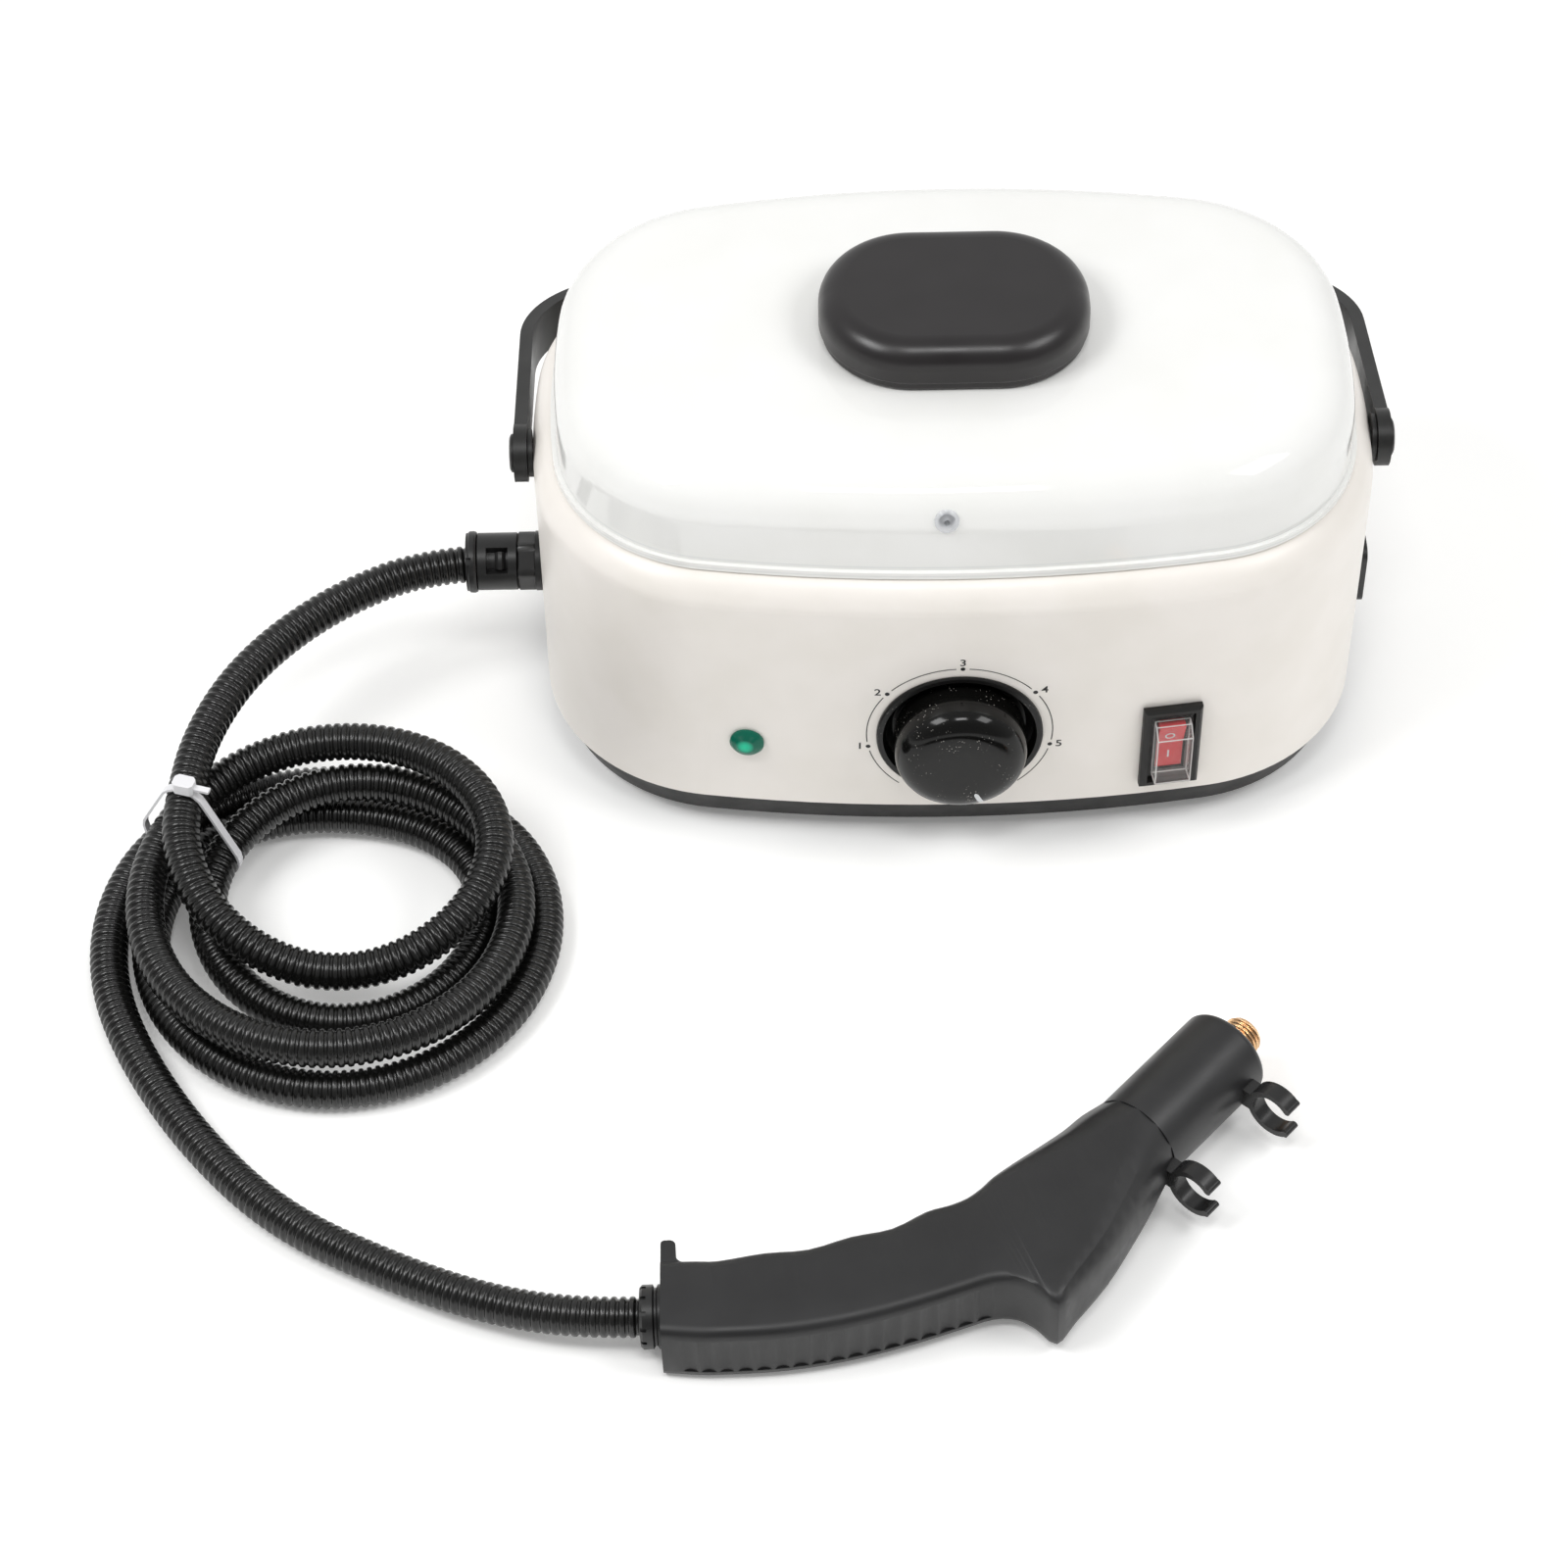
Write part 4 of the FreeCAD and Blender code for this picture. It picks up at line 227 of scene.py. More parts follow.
# Moulded ABS of the housing: a smooth warm white with a soft sheen and the long waves of a large moulding.
HOUSING = moulded("abs_satin_warm_white", "#EEE9E2", "#F2EDE7", 0.34, 1.6, 0.0015, ior=1.53)
# Natural polypropylene of the tank: a cooler, slightly waxy white.
TANK = moulded("polypropylene_natural_white", "#F4F4F1", "#F9F9F7", 0.36, 1.6, 0.003, ior=1.49)
# Clarified polypropylene of the lid: clear with a milky cast, ripples from moulding that bend its highlights, and
# painted shade lines for the faint steps round its rim.
LID_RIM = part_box("lid")[0].z
LID = see_through("polypropylene_clarified_lid", "#FAFAF7", "#FDFDFB", 0.86, 0.99, 0.05, 34.0, 0.10,
                  rim=(LID_RIM, LID_RIM + 13.0 * MM))
# Spark-eroded black ABS of the steam gun's grip: an even satin that shows pale where the light grazes it.
GRIP = moulded("abs_black_spark_eroded", "#171718", "#1D1D1E", 0.41, 0.55, 0.010, ior=1.53)
# Black ABS of the barrel sleeve: the same grain, worn a little smoother.
BARREL = moulded("abs_black_fine_grain", "#1B1B1C", "#232324", 0.38, 0.6, 0.009, ior=1.53)
# Black ABS of the lid's knob: a warm black with a soft sheen along its lip.
KNOB = moulded("abs_black_satin_knob", "#191617", "#1E1B1C", 0.31, 0.7, 0.003, ior=1.53)
# Polished black phenolic of the dial: deep gloss with dust on it.
DIAL = moulded("phenolic_black_gloss", "#0A0A09", "#0E0E0D", 0.13, 1.5, 0.002, ior=1.36, dust=0.6)
# The same phenolic in the recess round the dial: satin, with dust that has settled in it.
RECESS = moulded("phenolic_black_satin", "#0A0A09", "#0F0E0E", 0.36, 1.0, 0.006, ior=1.36, dust=0.35)
# Black polypropylene of the base, handle and recess: a plain satin.
BLACK = moulded("polypropylene_black_satin", "#191918", "#20201F", 0.4, 0.8, 0.006, ior=1.49)
# The same polypropylene at the base: a darker, drier copy with painted shade, with the grain of its mould.
BLACK_BASE_SHADED = moulded("polypropylene_black_base_painted_shade", "#0B0A09", "#100F0E", 0.5, 0.8, 0.008, ior=1.36)
# Glass-filled black nylon of the gland, collar and inlet: duller, with a coarse dry grain.
NYLON = moulded("nylon_black_glass_filled", "#131313", "#1B1B1B", 0.36, 0.45, 0.010, ior=1.53)
# Black polyamide conduit: extruded, so it is smooth and has a greasy shine on every rib.
HOSE = moulded("polyamide_conduit_black", "#0C0C0B", "#121211", 0.25, 2.0, 0.004, ior=1.53)
# Clips of black polyoxymethylene: springy and a little glossier than the barrel.
CLIPS = moulded("polyoxymethylene_black", "#181818", "#202020", 0.27, 1.0, 0.004, ior=1.48)
# Natural nylon of the cable tie: milky white and slightly translucent.
TIE = moulded("nylon_natural_white", "#DDDDE0", "#E9E9EB", 0.34, 0.9, 0.006, ior=1.53)
# Textured black ABS of the switch frame: greyer, with dust in its grain.
FRAME = moulded("abs_black_textured_frame", "#0F0E0D", "#151412", 0.45, 0.6, 0.012, ior=1.4, dust=0.10)
# Neoprene of the feet and pump cradles: matt, almost without shine.
RUBBER = moulded("neoprene_black_matt", "#121212", "#1A1A1A", 0.8, 0.5, 0.02, ior=1.52)
# Milky silicone tube.
SILICONE = moulded("silicone_tube_milky", "#D6D6D0", "#E4E4DE", 0.5, 1.5, 0.008, ior=1.41)
# White nylon of the standoffs.
WHITE_NYLON = moulded("nylon_white_plain", "#DADAD6", "#E6E6E2", 0.42, 1.0, 0.008, ior=1.53)
# Translucent soft plug of the steam vent: grey where the light doesn't come through it.
VENT = see_through("elastomer_clear_vent", "#D5D8DD", "#E2E4E8", 0.35, 0.9, 0.15, 5.0, 0.05)
# Glass-epoxy circuit board: dark green with a woven unevenness.
BOARD = moulded("glass_epoxy_board_green", "#0F3A22", "#18502F", 0.38, 0.6, 0.012, ior=1.55)
# Phenolic body of the dial's regulator: tan, pressed.
REGULATOR = moulded("phenolic_tan_pressed", "#8A7A5C", "#9C8B6B", 0.5, 0.8, 0.012, ior=1.6)
# Green polycarbonate of the lamp, with painted sparkle and a painted glow.
LAMP = prismatic_lens("polycarbonate_green_lens", sum(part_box("lamp_lens"), Vector()) / 2, 7.1)
# Red polycarbonate of the rocker: translucent red with a gloss.
ROCKER = moulded("polycarbonate_red_rocker", "#C81A24", "#DA2A33", 0.16, 1.4, 0.002, ior=1.45)
# Clear flexible cover over the rocker.
BOOT = see_through("vinyl_clear_boot", "#E4E1DE", "#F0EDEA", 0.04, 0.9, 0.07, 5.0, 0.05)
# The same vinyl along the edges where two walls meet: a painted highlight, pale rods that stand in for the light
# each edge gathers.
BOOT_EDGE_HIGHLIGHT = see_through("vinyl_painted_edge_highlight", "#E9E7E5", "#F4F2F0", 0.45, 0.9, 0.12, 5.0, 0.05)
# Brass of the nozzle, cut on a lathe: yellow-pink, bright on the crests.
BRASS = turned_metal("brass_free_cutting", "#EFB984", "#FFDDB2", 0.22, 0.3)
# Zinc-plated steel of the screws and nuts.
STEEL = turned_metal("steel_zinc_plated", "#9A9C9E", "#B9BBBD", 0.3, 0.3)
# Cast aluminium of the boiler: grey, with the sand's grain.
CAST = turned_metal("aluminium_cast", "#8D8F90", "#A5A7A8", 0.5, 1.2)
# White ink, printed on or wiped into a groove.
WHITE_INK = moulded("ink_white_printed", "#D6D9DB", "#E4E6E7", 0.5, 0.6, 0.003)
# Black printing ink.
BLACK_INK = moulded("ink_black_printed", "#0F0E0D", "#181716", 0.5, 0.6, 0.003)

FINISH = {
    "housing": HOUSING, "base": BLACK_BASE_SHADED, "foot": RUBBER, "screw": STEEL, "tank": TANK, "filter": BLACK,
    "bezel": RECESS, "regulator": REGULATOR, "lamp_lens": LAMP, "lamp_holder": BLACK, "switch_frame": FRAME,
    "switch_body": BLACK, "switch_boot": BOOT, "gland": NYLON, "gland_ring": NYLON, "gland_nut": NYLON,
    "inlet": NYLON, "inlet_pins": STEEL, "handle_pin": BLACK, "bush": BLACK, "nut": STEEL, "pump": BLACK,
    "cradle": RUBBER, "boiler": CAST, "element": STEEL, "cutout": BLACK, "silicone": SILICONE,
    "board": BOARD, "standoff": WHITE_NYLON, "grip": GRIP, "collar": NYLON, "barrel": BARREL,
    "nozzle": BRASS, "clips": CLIPS, "button_switch": BLACK, "hose": HOSE, "tie": TIE, "lid": LID,
    "vent": VENT, "knob": KNOB, "handle": BLACK, "dial_knob": DIAL, "shaft": BRASS, "rocker": ROCKER,
    "steam_button": CLIPS,
}

for part in frame["record"]["subparts"]:
    nodes[part["node"]].material_slots[0].material = FINISH[part["material_slot"]]


# Making pieces

def piece(name, points, faces, material, body, sharp=None):
    """A mesh piece that rides on a body: flat faces, or smooth up to a sharp angle in degrees."""
    mesh = bpy.data.meshes.new(name)
    mesh.from_pydata([tuple(p) for p in points], [], faces)
    mesh.validate()
    if sharp:
        solid = bmesh.new()
        solid.from_mesh(mesh)
        bmesh.ops.recalc_face_normals(solid, faces=solid.faces)
        solid.to_mesh(mesh)
        solid.free()
        mesh.shade_smooth()
        mesh.set_sharp_from_angle(angle=math.radians(sharp))
    mesh.materials.append(material)
    obj = bpy.data.objects.new(name, mesh)
    bpy.context.scene.collection.objects.link(obj)
    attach(obj, body)
    return obj


def grid_faces(rows, columns, start=0):
    """Faces between rows of points, each row a closed ring."""
    faces = []
    for i in range(rows - 1):
        for j in range(columns):
            a, b = start + i * columns + j, start + i * columns + (j + 1) % columns
            faces.append((a, b, b + columns, a + columns))
    return faces


def lathe(name, middle, out, profile, around, shape, material, body, sharp):
    """A turned piece about an axis: shape gives each point's radius from its place, its radius in the
    profile and its share of the turn, which starts at the top and runs towards the front."""
    out = out.normalized()
    top = (Vector((0, 0, 1)) - out * out.z).normalized()
    front = top.cross(out) if top.cross(out).y < 0 else out.cross(top)
    points = []
    for place, radius in profile:
        for j in range(around):
            swing = 2 * math.pi * j / around
            points.append(middle + out * place * MM + (top * math.cos(swing) + front * math.sin(swing))
                          * shape(place, radius, j / around) * MM)
    return piece(name, points, grid_faces(len(profile), around), material, body, sharp)


# Hose: one length of corrugated conduit from the gland to the steam gun

HOSE_RADIUS = 7.9
HOSE_ROOT = 6.9
RIB_PITCH = 3.6
LEAD = [(-181.32, 0, 62.16), (-220, 0, 61.96), (-262, -20, 59.5), (-295.5, -53, 57), (-314, -92, 54.3),
        (-319.3, -127, 48.7)]
TAIL = [(-350.5, -184, 8.2), (-336, -224, 8), (-307.5, -270, 8), (-272, -309, 8), (-225, -336, 8.2),
        (-188, -353, 10.5), (-151.99, -362.8, 14.35), (-125.5, -362.8, 14.95)]
COIL_CENTRE = (-256, -146)
# Each turn of the coil: its reach from the coil's centre and its height at the left, front, right and back.
COIL_TURNS = [
    ((62.0, 44.8), (47.0, 20.0), (65.0, 39.5), (60.0, 42.2)),
    ((77.5, 28.7), (92.0, 25.8), (71.5, 20.4), (48.5, 29.4)),
    ((54.0, 17.8), (64.0, 8.0), (59.5, 8.0), (47.5, 9.9)),
    ((75.5, 9.9), (99.0, 8.0), (83.0, 8.0), (65.0, 9.9)),
]
COIL_END = (94.5, 9.9)


def eased(before, start, end, after, share):
    """A value that eases from start to end, on its way from the one before to the one after."""
    leave, arrive = (end - before) / 2, (after - start) / 2
    s, s2, s3 = share, share ** 2, share ** 3
    return ((2 * s3 - 3 * s2 + 1) * start + (s3 - 2 * s2 + s) * leave + (3 * s2 - 2 * s3) * end
            + (s3 - s2) * arrive)


def coil_points():
    """The coil's part of the route, sixteen points to a turn, counter-clockwise from the left."""
    quarters = [quarter for turn in COIL_TURNS for quarter in turn] + [COIL_END]
    first, last = [tuple(2 * a - b for a, b in zip(quarters[i], quarters[j])) for i, j in ((0, 1), (-1, -2))]
    table = [first] + quarters + [last]
    outset = 8 / (6 + 2 * math.cos(math.pi / 8))
    points = []
    for k in range(len(quarters) - 1):
        for i in range(4):
            reach, height = [eased(*[table[k + n][axis] for n in range(4)], i / 4) for axis in (0, 1)]
            swing = math.radians(180 + 90 * (k + i / 4))
            points.append((COIL_CENTRE[0] + reach * outset * math.cos(swing),
                           COIL_CENTRE[1] + reach * outset * math.sin(swing), max(height, HOSE_RADIUS + 0.1)))
    points.append((COIL_CENTRE[0] - COIL_END[0], COIL_CENTRE[1], COIL_END[1]))
    return points


def smooth_route(points):
    """Points along the route's one smooth NURBS spline, and the length up to each, both in metres."""
    curve = bpy.data.curves.new("hose_route", "CURVE")
    curve.dimensions = "3D"
    curve.resolution_u = 24
    spline = curve.splines.new("NURBS")
    spline.points.add(len(points) - 1)
    for point, place in zip(spline.points, points):
        point.co = (*mm(*place), 1.0)
    spline.order_u = 3
    spline.use_endpoint_u = True
    line = bpy.data.objects.new("hose_route", curve)
    bpy.context.scene.collection.objects.link(line)
    mesh = bpy.data.meshes.new_from_object(line.evaluated_get(bpy.context.evaluated_depsgraph_get()))
    found = [v.co.copy() for v in mesh.vertices]
    bpy.data.objects.remove(line)
    bpy.data.meshes.remove(mesh)
    passed = [0.0]
    for a, b in zip(found, found[1:]):
        passed.append(passed[-1] + (b - a).length)
    return found, passed


def walk(found, passed, distances):
    """Places and directions at rising distances along the route."""
    spots, k = [], 0
    for distance in distances:
        while k < len(found) - 2 and passed[k + 1] < distance:
            k += 1
        share = (distance - passed[k]) / (passed[k + 1] - passed[k])
        here = (found[k + 1] - found[k]).normalized()
        before = (found[k] - found[k - 1]).normalized() if k else here
        after = (found[k + 2] - found[k + 1]).normalized() if k < len(found) - 2 else here
        along = before.lerp(here, 0.5 + share) if share < 0.5 else here.lerp(after, share - 0.5)
        spots.append((found[k].lerp(found[k + 1], share), along.normalized()))
    return spots


def make_hose():
    """The ribbed hose: each rib has a rounded crest between narrow grooves."""
    found, passed = smooth_route(LEAD + coil_points() + TAIL)
    count = round(passed[-1] / (RIB_PITCH * MM))
    pitch = passed[-1] / count
    crest, root = HOSE_RADIUS * MM, HOSE_ROOT * MM
    rib = [(0.00, 0.0), (0.13, 0.04), (0.20, 0.55), (0.30, 0.90), (0.50, 1.0), (0.70, 0.90), (0.80, 0.55),
           (0.87, 0.04)]
    places = [((i + share) * pitch, root + (crest - root) * lift)
              for i in range(count) for share, lift in rib]
    places.append((passed[-1], root))
    around = 24
    points = []
    side = Vector((0, 1, 0))
    for (centre, along), (_, radius) in zip(walk(found, passed, [d for d, _ in places]), places):
        side = (side - along * side.dot(along)).normalized()
        up = along.cross(side)
        points += [centre + (side * math.cos(a) + up * math.sin(a)) * radius
                   for a in (2 * math.pi * j / around for j in range(around))]
    faces = grid_faces(len(places), around)
    faces += [tuple(range(around))[::-1], tuple(range(len(points) - around, len(points)))]
    hose = piece("steam_hose", points, faces, HOSE, "unit", sharp=80)
    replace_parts(hose, "hose_lead", "hose_coil", "hose_tail")
    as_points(found)


make_hose()


# Printing and marks

# How far print stands proud of its surface.
INK = 0.06
DIAL_CENTRE = (0.0, 66.4)
RING_RADIUS = 38.2
RING_LINE = 0.44
DOT_RADIUS = 1.0
DIGIT_SIZE = 5.2
DIGIT_WEIGHT = 0.07
DIGIT_WIDTH = 1.12
# The knob's white line: its angle from the right, where it starts, its length and half its width.
POINTER = (-68, 15.5, 8.8, 1.0)
# The cover over the rocker, seen from its side: each corner's height and reach out, and half its width.
BOOT_CORNERS = [(-15.2, 2.2), (15.2, 2.2), (14.7, 5.2), (10.4, 9.3), (-14.7, 9.3)]
BOOT_HALF_WIDTH = 7.3
# Radius of the pale rods that paint highlights along the cover's edges.
BOOT_HIGHLIGHT_RADIUS = 0.27
# Each number: its dot's angle on the ring, and where its middle lies from the dot.
NUMBERS = {"1": (191.2, -3.4, 0.0), "2": (141.6, -3.9, 0.8), "3": (89.3, 0.0, 3.4), "4": (37.3, 3.8, 1.2),
           "5": (-12.2, 3.7, 0.0)}


def front_of(thing):
    """Finds the points on a thing's front, a hair proud of it, straight behind a place."""
    surface = BVHTree.FromObject(thing, bpy.context.evaluated_depsgraph_get())

    def find(x, z):
        hit, normal, _, _ = surface.ray_cast(mm(x, -200, z), Vector((0, 1, 0)))
        return hit + normal * INK * MM
    return find


def marks(name, find, outlines, material, body):
    """Printed marks: each is a flat outline of places, laid on a surface as a strip between its two sides."""
    points, faces = [], []
    for left, right in outlines:
        first = len(points)
        for a, b in zip(left, right):
            points += [find(*a), find(*b)]
        faces += [(first + 2 * i, first + 2 * i + 1, first + 2 * i + 3, first + 2 * i + 2)
                  for i in range(len(left) - 1)]
    return piece(name, points, faces, material, body)


def arc(x, z, radius, start, end, steps):
    """Places along an arc, its angles in degrees from the right, counter-clockwise."""
    swings = [math.radians(start + (end - start) * i / steps) for i in range(steps + 1)]
    return [(x + radius * math.cos(swing), z + radius * math.sin(swing)) for swing in swings]


def make_dial_print():
    """A thin ring round the dial, broken by five dots, and their numbers outside it."""
    housing = front_of(nodes["body_shell"])
    cx, cz = DIAL_CENTRE
    dots = sorted(spot[0] for spot in NUMBERS.values())
    stops = [(-50, dots[0] - 4)] + [(a + 4, b - 4) for a, b in zip(dots, dots[1:])] + [(dots[-1] + 4, 230)]
    inner, outer = RING_RADIUS - RING_LINE / 2, RING_RADIUS + RING_LINE / 2
    ring = [(arc(cx, cz, inner, a, b, 16), arc(cx, cz, outer, a, b, 16)) for a, b in stops]
    middles = [arc(cx, cz, RING_RADIUS, a, a, 1)[0] for a in dots]
    spots = [(arc(x, z, DOT_RADIUS, 90, 270, 8), arc(x, z, DOT_RADIUS, 90, -90, 8)) for x, z in middles]
    marks("dial_ring_print", housing, ring + spots, BLACK_INK, "unit")
    for number, (swing, across, over) in NUMBERS.items():
        text = bpy.data.curves.new("digit", "FONT")
        text.body = number
        text.size = DIGIT_SIZE * MM
        text.offset = DIGIT_WEIGHT * MM
        text.align_x = text.align_y = "CENTER"
        text.resolution_u = 6
        holder = bpy.data.objects.new("digit", text)
        bpy.context.scene.collection.objects.link(holder)
        mesh = bpy.data.meshes.new_from_object(holder.evaluated_get(bpy.context.evaluated_depsgraph_get()))
        bpy.data.objects.remove(holder)
        x, z = arc(cx, cz, RING_RADIUS, swing, swing, 1)[0]
        points = [housing(x + across + DIGIT_WIDTH * v.co.x / MM, z + over + v.co.y / MM)
                  for v in mesh.vertices]
        faces = [tuple(p.vertices) for p in mesh.polygons]
        bpy.data.meshes.remove(mesh)
        piece("dial_number_" + number, points, faces, BLACK_INK, "unit")


def make_knob_of_dial():
    """The domed dial knob, hollow round its shaft, and the white line on its rim."""
    turn = [joint for joint in frame["joints"] if joint["name"] == "dial_turn"][0]
    dome = [(20.6, 0.0), (20.6, 9.0), (20.5, 14.5), (20.2, 18.0), (19.6, 20.6), (18.4, 23.0), (16.7, 24.9),
            (14.6, 26.2), (12.0, 27.0), (8.0, 27.3), (0.0, 27.1), (-4.4, 26.5), (-4.5, 26.2), (-4.5, 3.05),
            (8.9, 3.05), (9.0, 0.0)]
    knob = lathe("dial_knob_dome", Vector(turn["pos_m"]), Vector(turn["axis"]), dome, 72,
                 lambda place, radius, share: radius, DIAL, "dial", 50)
    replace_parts(knob, "dial_knob")
    bpy.context.view_layer.update()
    cx, cz = DIAL_CENTRE
    swing, start, length, half_width = POINTER
    swing = math.radians(swing)
    along, across = (math.cos(swing), math.sin(swing)), (-math.sin(swing), math.cos(swing))
    left, right = [], []
    for i in range(13):
        reach = start + length * i / 12
        half = half_width * math.sqrt(max(0.03, 1 - abs(2 * i / 12 - 1) ** 6))
        left.append((cx + along[0] * reach - across[0] * half, cz + along[1] * reach - across[1] * half))
        right.append((cx + along[0] * reach + across[0] * half, cz + along[1] * reach + across[1] * half))
    marks("dial_pointer", front_of(knob), [(left, right)], WHITE_INK, "dial")


def make_rocker_marks():
    """A ring for off on the rocker's upper half and a bar for on on its lower half."""
    low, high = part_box("switch_rocker")
    x, z = (low.x + high.x) / 2 / MM, (low.z + high.z) / 2 / MM
    find = front_of(nodes["switch_rocker"])
    above, below, line, length = 6.2, 4.2, 0.35, 4.2
    ring = (arc(x, z + above, 1.5, 0, 360, 24), arc(x, z + above, 2.1, 0, 360, 24))
    bar = [[(x + side, z - below - length * i / 4) for i in range(5)] for side in (-line, line)]
    marks("rocker_marks", find, [ring, bar], WHITE_INK, "rocker")


def make_boot_edge_highlights():
    """Painted highlights: thin pale rods along the edges of the clear cover over the rocker, where its walls meet.
    """
    tilt = [joint for joint in frame["joints"] if joint["name"] == "rocker_tilt"][0]
    right = -Vector(tilt["axis"])
    out = Vector((right.y, -right.x, 0.0))
    up = out.cross(right)
    foot = Vector(tilt["pos_m"]) + out * 2.2 * MM
    ends = [[foot + (right * x + up * y + out * z) * MM for y, z in BOOT_CORNERS]
            for x in (-BOOT_HALF_WIDTH, BOOT_HALF_WIDTH)]
    highlight_edges = [(row[i - 1], row[i]) for row in ends for i in range(len(row))] + list(zip(*ends))
    points, faces = [], []
    for start, end in highlight_edges:
        along = (end - start).normalized()
        across = along.orthogonal().normalized()
        over = along.cross(across)
        first = len(points)
        for place in (start, end):
            points += [place + (across * math.cos(a) + over * math.sin(a)) * BOOT_HIGHLIGHT_RADIUS * MM
                       for a in (math.radians(60 * j) for j in range(6))]
        faces += grid_faces(2, 6, first)
        faces += [tuple(range(first, first + 6)), tuple(range(first + 6, first + 12))]
    piece("switch_boot_painted_highlights", points, faces, BOOT_EDGE_HIGHLIGHT, "unit")


make_dial_print()
make_knob_of_dial()
make_rocker_marks()
make_boot_edge_highlights()


# Conduit gland

def make_gland():
    """The gland's body: a hex and a barrel with two latch windows, each with a rounded post in it."""
    hose, bore, radius, flat = 6.3, 8.2, 12.3, 11.0
    # The windows: how far round from the top they are, towards the front, and half the turn that each takes.
    window_middle, window_half, post_half, window_depth = 45, 27, 24, 3.6
    stops = [-12.0, 0.3, 0.3, 2.8, 2.8, 3.2, 9.8, 10.2, 10.2, 10.8, 14.4, 14.5, 15.4, 15.5, 17.0, 18.5,
             20.0, 20.1, 23.6, 23.7, 27.4, 27.7, 27.7]
    sizes = [9.9, 9.9, 12.8, 12.8, 12.0, 12.5, 12.5, 12.0, 11.3] + [radius] * 12 + [12.0, bore]
    profile = list(zip(stops, sizes)) + [(8.0, bore), (8.0, hose), (-12.0, hose), (-12.0, 9.9)]

    def form(place, size, share):
        if 2.8 < place < 10.2 and size >= 12.0:
            return min(size, flat / math.cos(math.radians((share * 360 - 15) % 60 - 30)))
        side = abs((share * 360 - window_middle + 90) % 180 - 90)
        if 14.45 < place < 23.65 and size == radius and side < window_half:
            post = 15.45 < place < 20.05 and side < post_half
            return radius - 1.3 - 0.22 * (place - 17.75) ** 2 if post else radius - window_depth
        return size
    gland = lathe("gland_latch_body", mm(*LEAD[0]) + mm(8, 0, 0), Vector((-1, 0, 0)), profile, 120, form,
                  NYLON, "unit", 30)
    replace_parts(gland, "gland_body")


make_gland()


# Steam gun

def make_grip_skin(half):
    """A grip half with its moulded surface run smooth over the facets that meet at a low angle."""
    mesh = bmesh.new()
    mesh.from_mesh(nodes[half].data)
    bmesh.ops.remove_doubles(mesh, verts=mesh.verts, dist=0.01 * MM)
    points = [v.co.copy() for v in mesh.verts]
    mesh.verts.index_update()
    faces = [tuple(v.index for v in face.verts) for face in mesh.faces]
    mesh.free()
    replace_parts(piece(half + "_skin", points, faces, GRIP, "unit", sharp=32), half)


def make_nozzle():
    """The brass outlet: a stepped stem, a flange behind the barrel's front wall and a cut thread outside
    it."""
    pitch, start, end = 1.75, -5.2, 4.6
    steps = round((end - start) / pitch * 14)
    profile = [(-26.1, 3.0), (-26.1, 5.0), (-14.1, 5.0), (-14.1, 12.0), (-10.1, 12.0), (-10.1, 8.8),
               (-5.9, 8.8), (-5.9, 7.4), (start, 7.4)]
    profile += [(start + (end - start) * i / steps, 8.2) for i in range(steps + 1)]
    profile += [(end + 0.4, 7.4), (6.2, 7.1), (6.2, 3.0), (-26.1, 3.0)]

    def cut(place, radius, share):
        across = (place / pitch - share) % 1.0
        return radius - 0.8 * min(1.0, max(0.0, 2.6 * abs(across - 0.5) - 0.15)) * (radius == 8.2)
    outlet = mounts["steam_outlet"]
    nozzle = lathe("nozzle_thread", Vector(outlet["pos_m"]), Vector(outlet["axis"]), profile, 48, cut, BRASS,
                   "unit", 50)
    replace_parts(nozzle, "brass_nozzle")


make_grip_skin("grip_shell_upper")
make_grip_skin("grip_shell_lower")
make_nozzle()


# Floor, light and camera

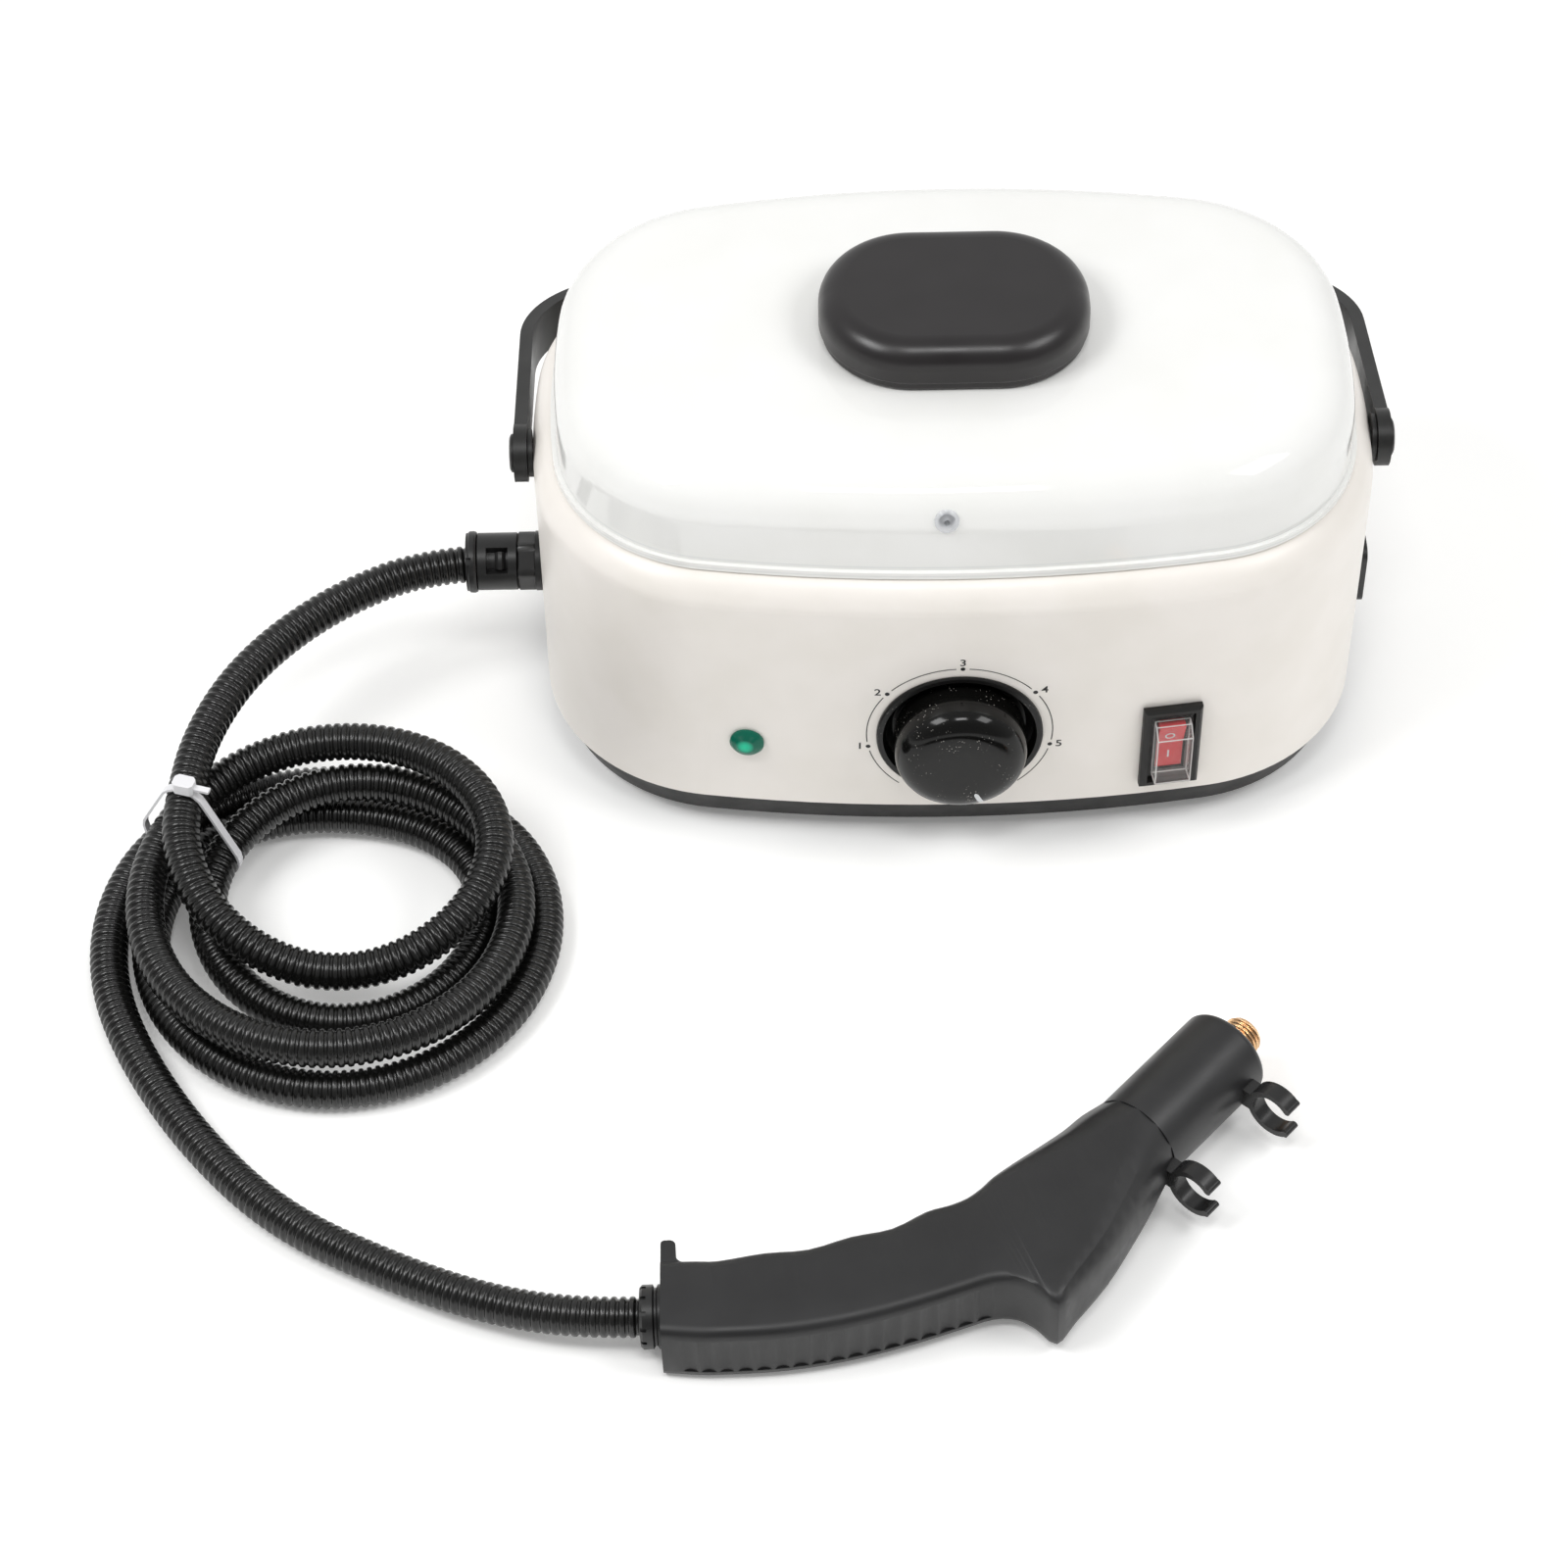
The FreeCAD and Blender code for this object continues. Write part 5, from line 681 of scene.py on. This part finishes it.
def make_stage():
    """A pale floor under soft light from three softboxes and a bright room."""
    material, place = new_material("paper_floor_white")
    drift = add(material, "TexNoise", {"Vector": place, "Scale": per_metre(400.0)}).outputs["Fac"]
    colour = add(material, "Mix", {0: drift, 6: linear("#FAFAF9"), 7: linear("#FDFDFC")},
                 data_type="RGBA").outputs[2]
    shader = add(material, "BsdfPrincipled", {"Base Color": colour, "Roughness": 0.9,
                                              "Emission Color": colour,
                                              "Emission Strength": 0.16})
    add(material, "OutputMaterial", {"Surface": shader.outputs[0]})
    mesh = bpy.data.meshes.new("floor")
    mesh.from_pydata([(-6, -6, 0), (6, -6, 0), (6, 6, 0), (-6, 6, 0)], [], [(0, 1, 2, 3)])
    mesh.materials.append(material)
    floor = bpy.data.objects.new("floor", mesh)
    bpy.context.scene.collection.objects.link(floor)
    world = bpy.data.worlds.new("studio")
    bpy.context.scene.world = world
    world.use_nodes = True
    sky = world.node_tree.nodes["Background"]
    sky.inputs["Color"].default_value = linear("#FFFFFF")
    way = add(world, "TexCoord").outputs["Generated"]
    depth = add(world, "SeparateXYZ", {0: way}).outputs["Y"]
    glow = add(world, "MapRange", {"Value": depth, "From Min": -0.8, "From Max": 0.8, "To Min": 0.28,
                                   "To Max": 0.80})
    world.node_tree.links.new(glow.outputs["Result"], sky.inputs["Strength"])
    boxes = [("left_softbox", (-0.95, -0.45, 1.34), 0.7, 0.5, 9.8),
             ("right_softbox", (0.95, -0.45, 1.34), 0.7, 0.5, 6.6),
             ("front_softbox", (0.0, -0.77, 1.74), 0.5, 0.3, 5.7)]
    for name, where, width, height, power in boxes:
        light = bpy.data.lights.new(name, "AREA")
        light.shape = "RECTANGLE"
        light.size, light.size_y = width, height
        light.energy = power
        lamp = bpy.data.objects.new(name, light)
        lamp.location = where
        lamp.rotation_mode = "QUATERNION"
        lamp.rotation_quaternion = (Vector((-0.05, -0.1, 0.08)) - Vector(where)).to_track_quat("-Z", "Y")
        bpy.context.scene.collection.objects.link(lamp)


def make_camera():
    """The photograph's camera: above and in front, with a long lens."""
    camera = bpy.data.cameras.new("camera")
    camera.sensor_width = 36.0
    camera.lens = 96.32
    camera.clip_end = 20.0
    holder = bpy.data.objects.new("camera", camera)
    right, up = Vector((0.99978, -0.01931, -0.00794)), Vector((0.01956, 0.73348, 0.67943))
    back = right.cross(up).normalized()
    up = back.cross(right)
    facing = Matrix((right, up, back)).transposed().to_4x4()
    holder.matrix_world = Matrix.Translation(mm(-84.98, -1293.84, 1315.32)) @ facing
    bpy.context.scene.collection.objects.link(holder)
    bpy.context.scene.camera = holder


make_stage()
make_camera()
bpy.context.scene.view_settings.view_transform = "Standard"
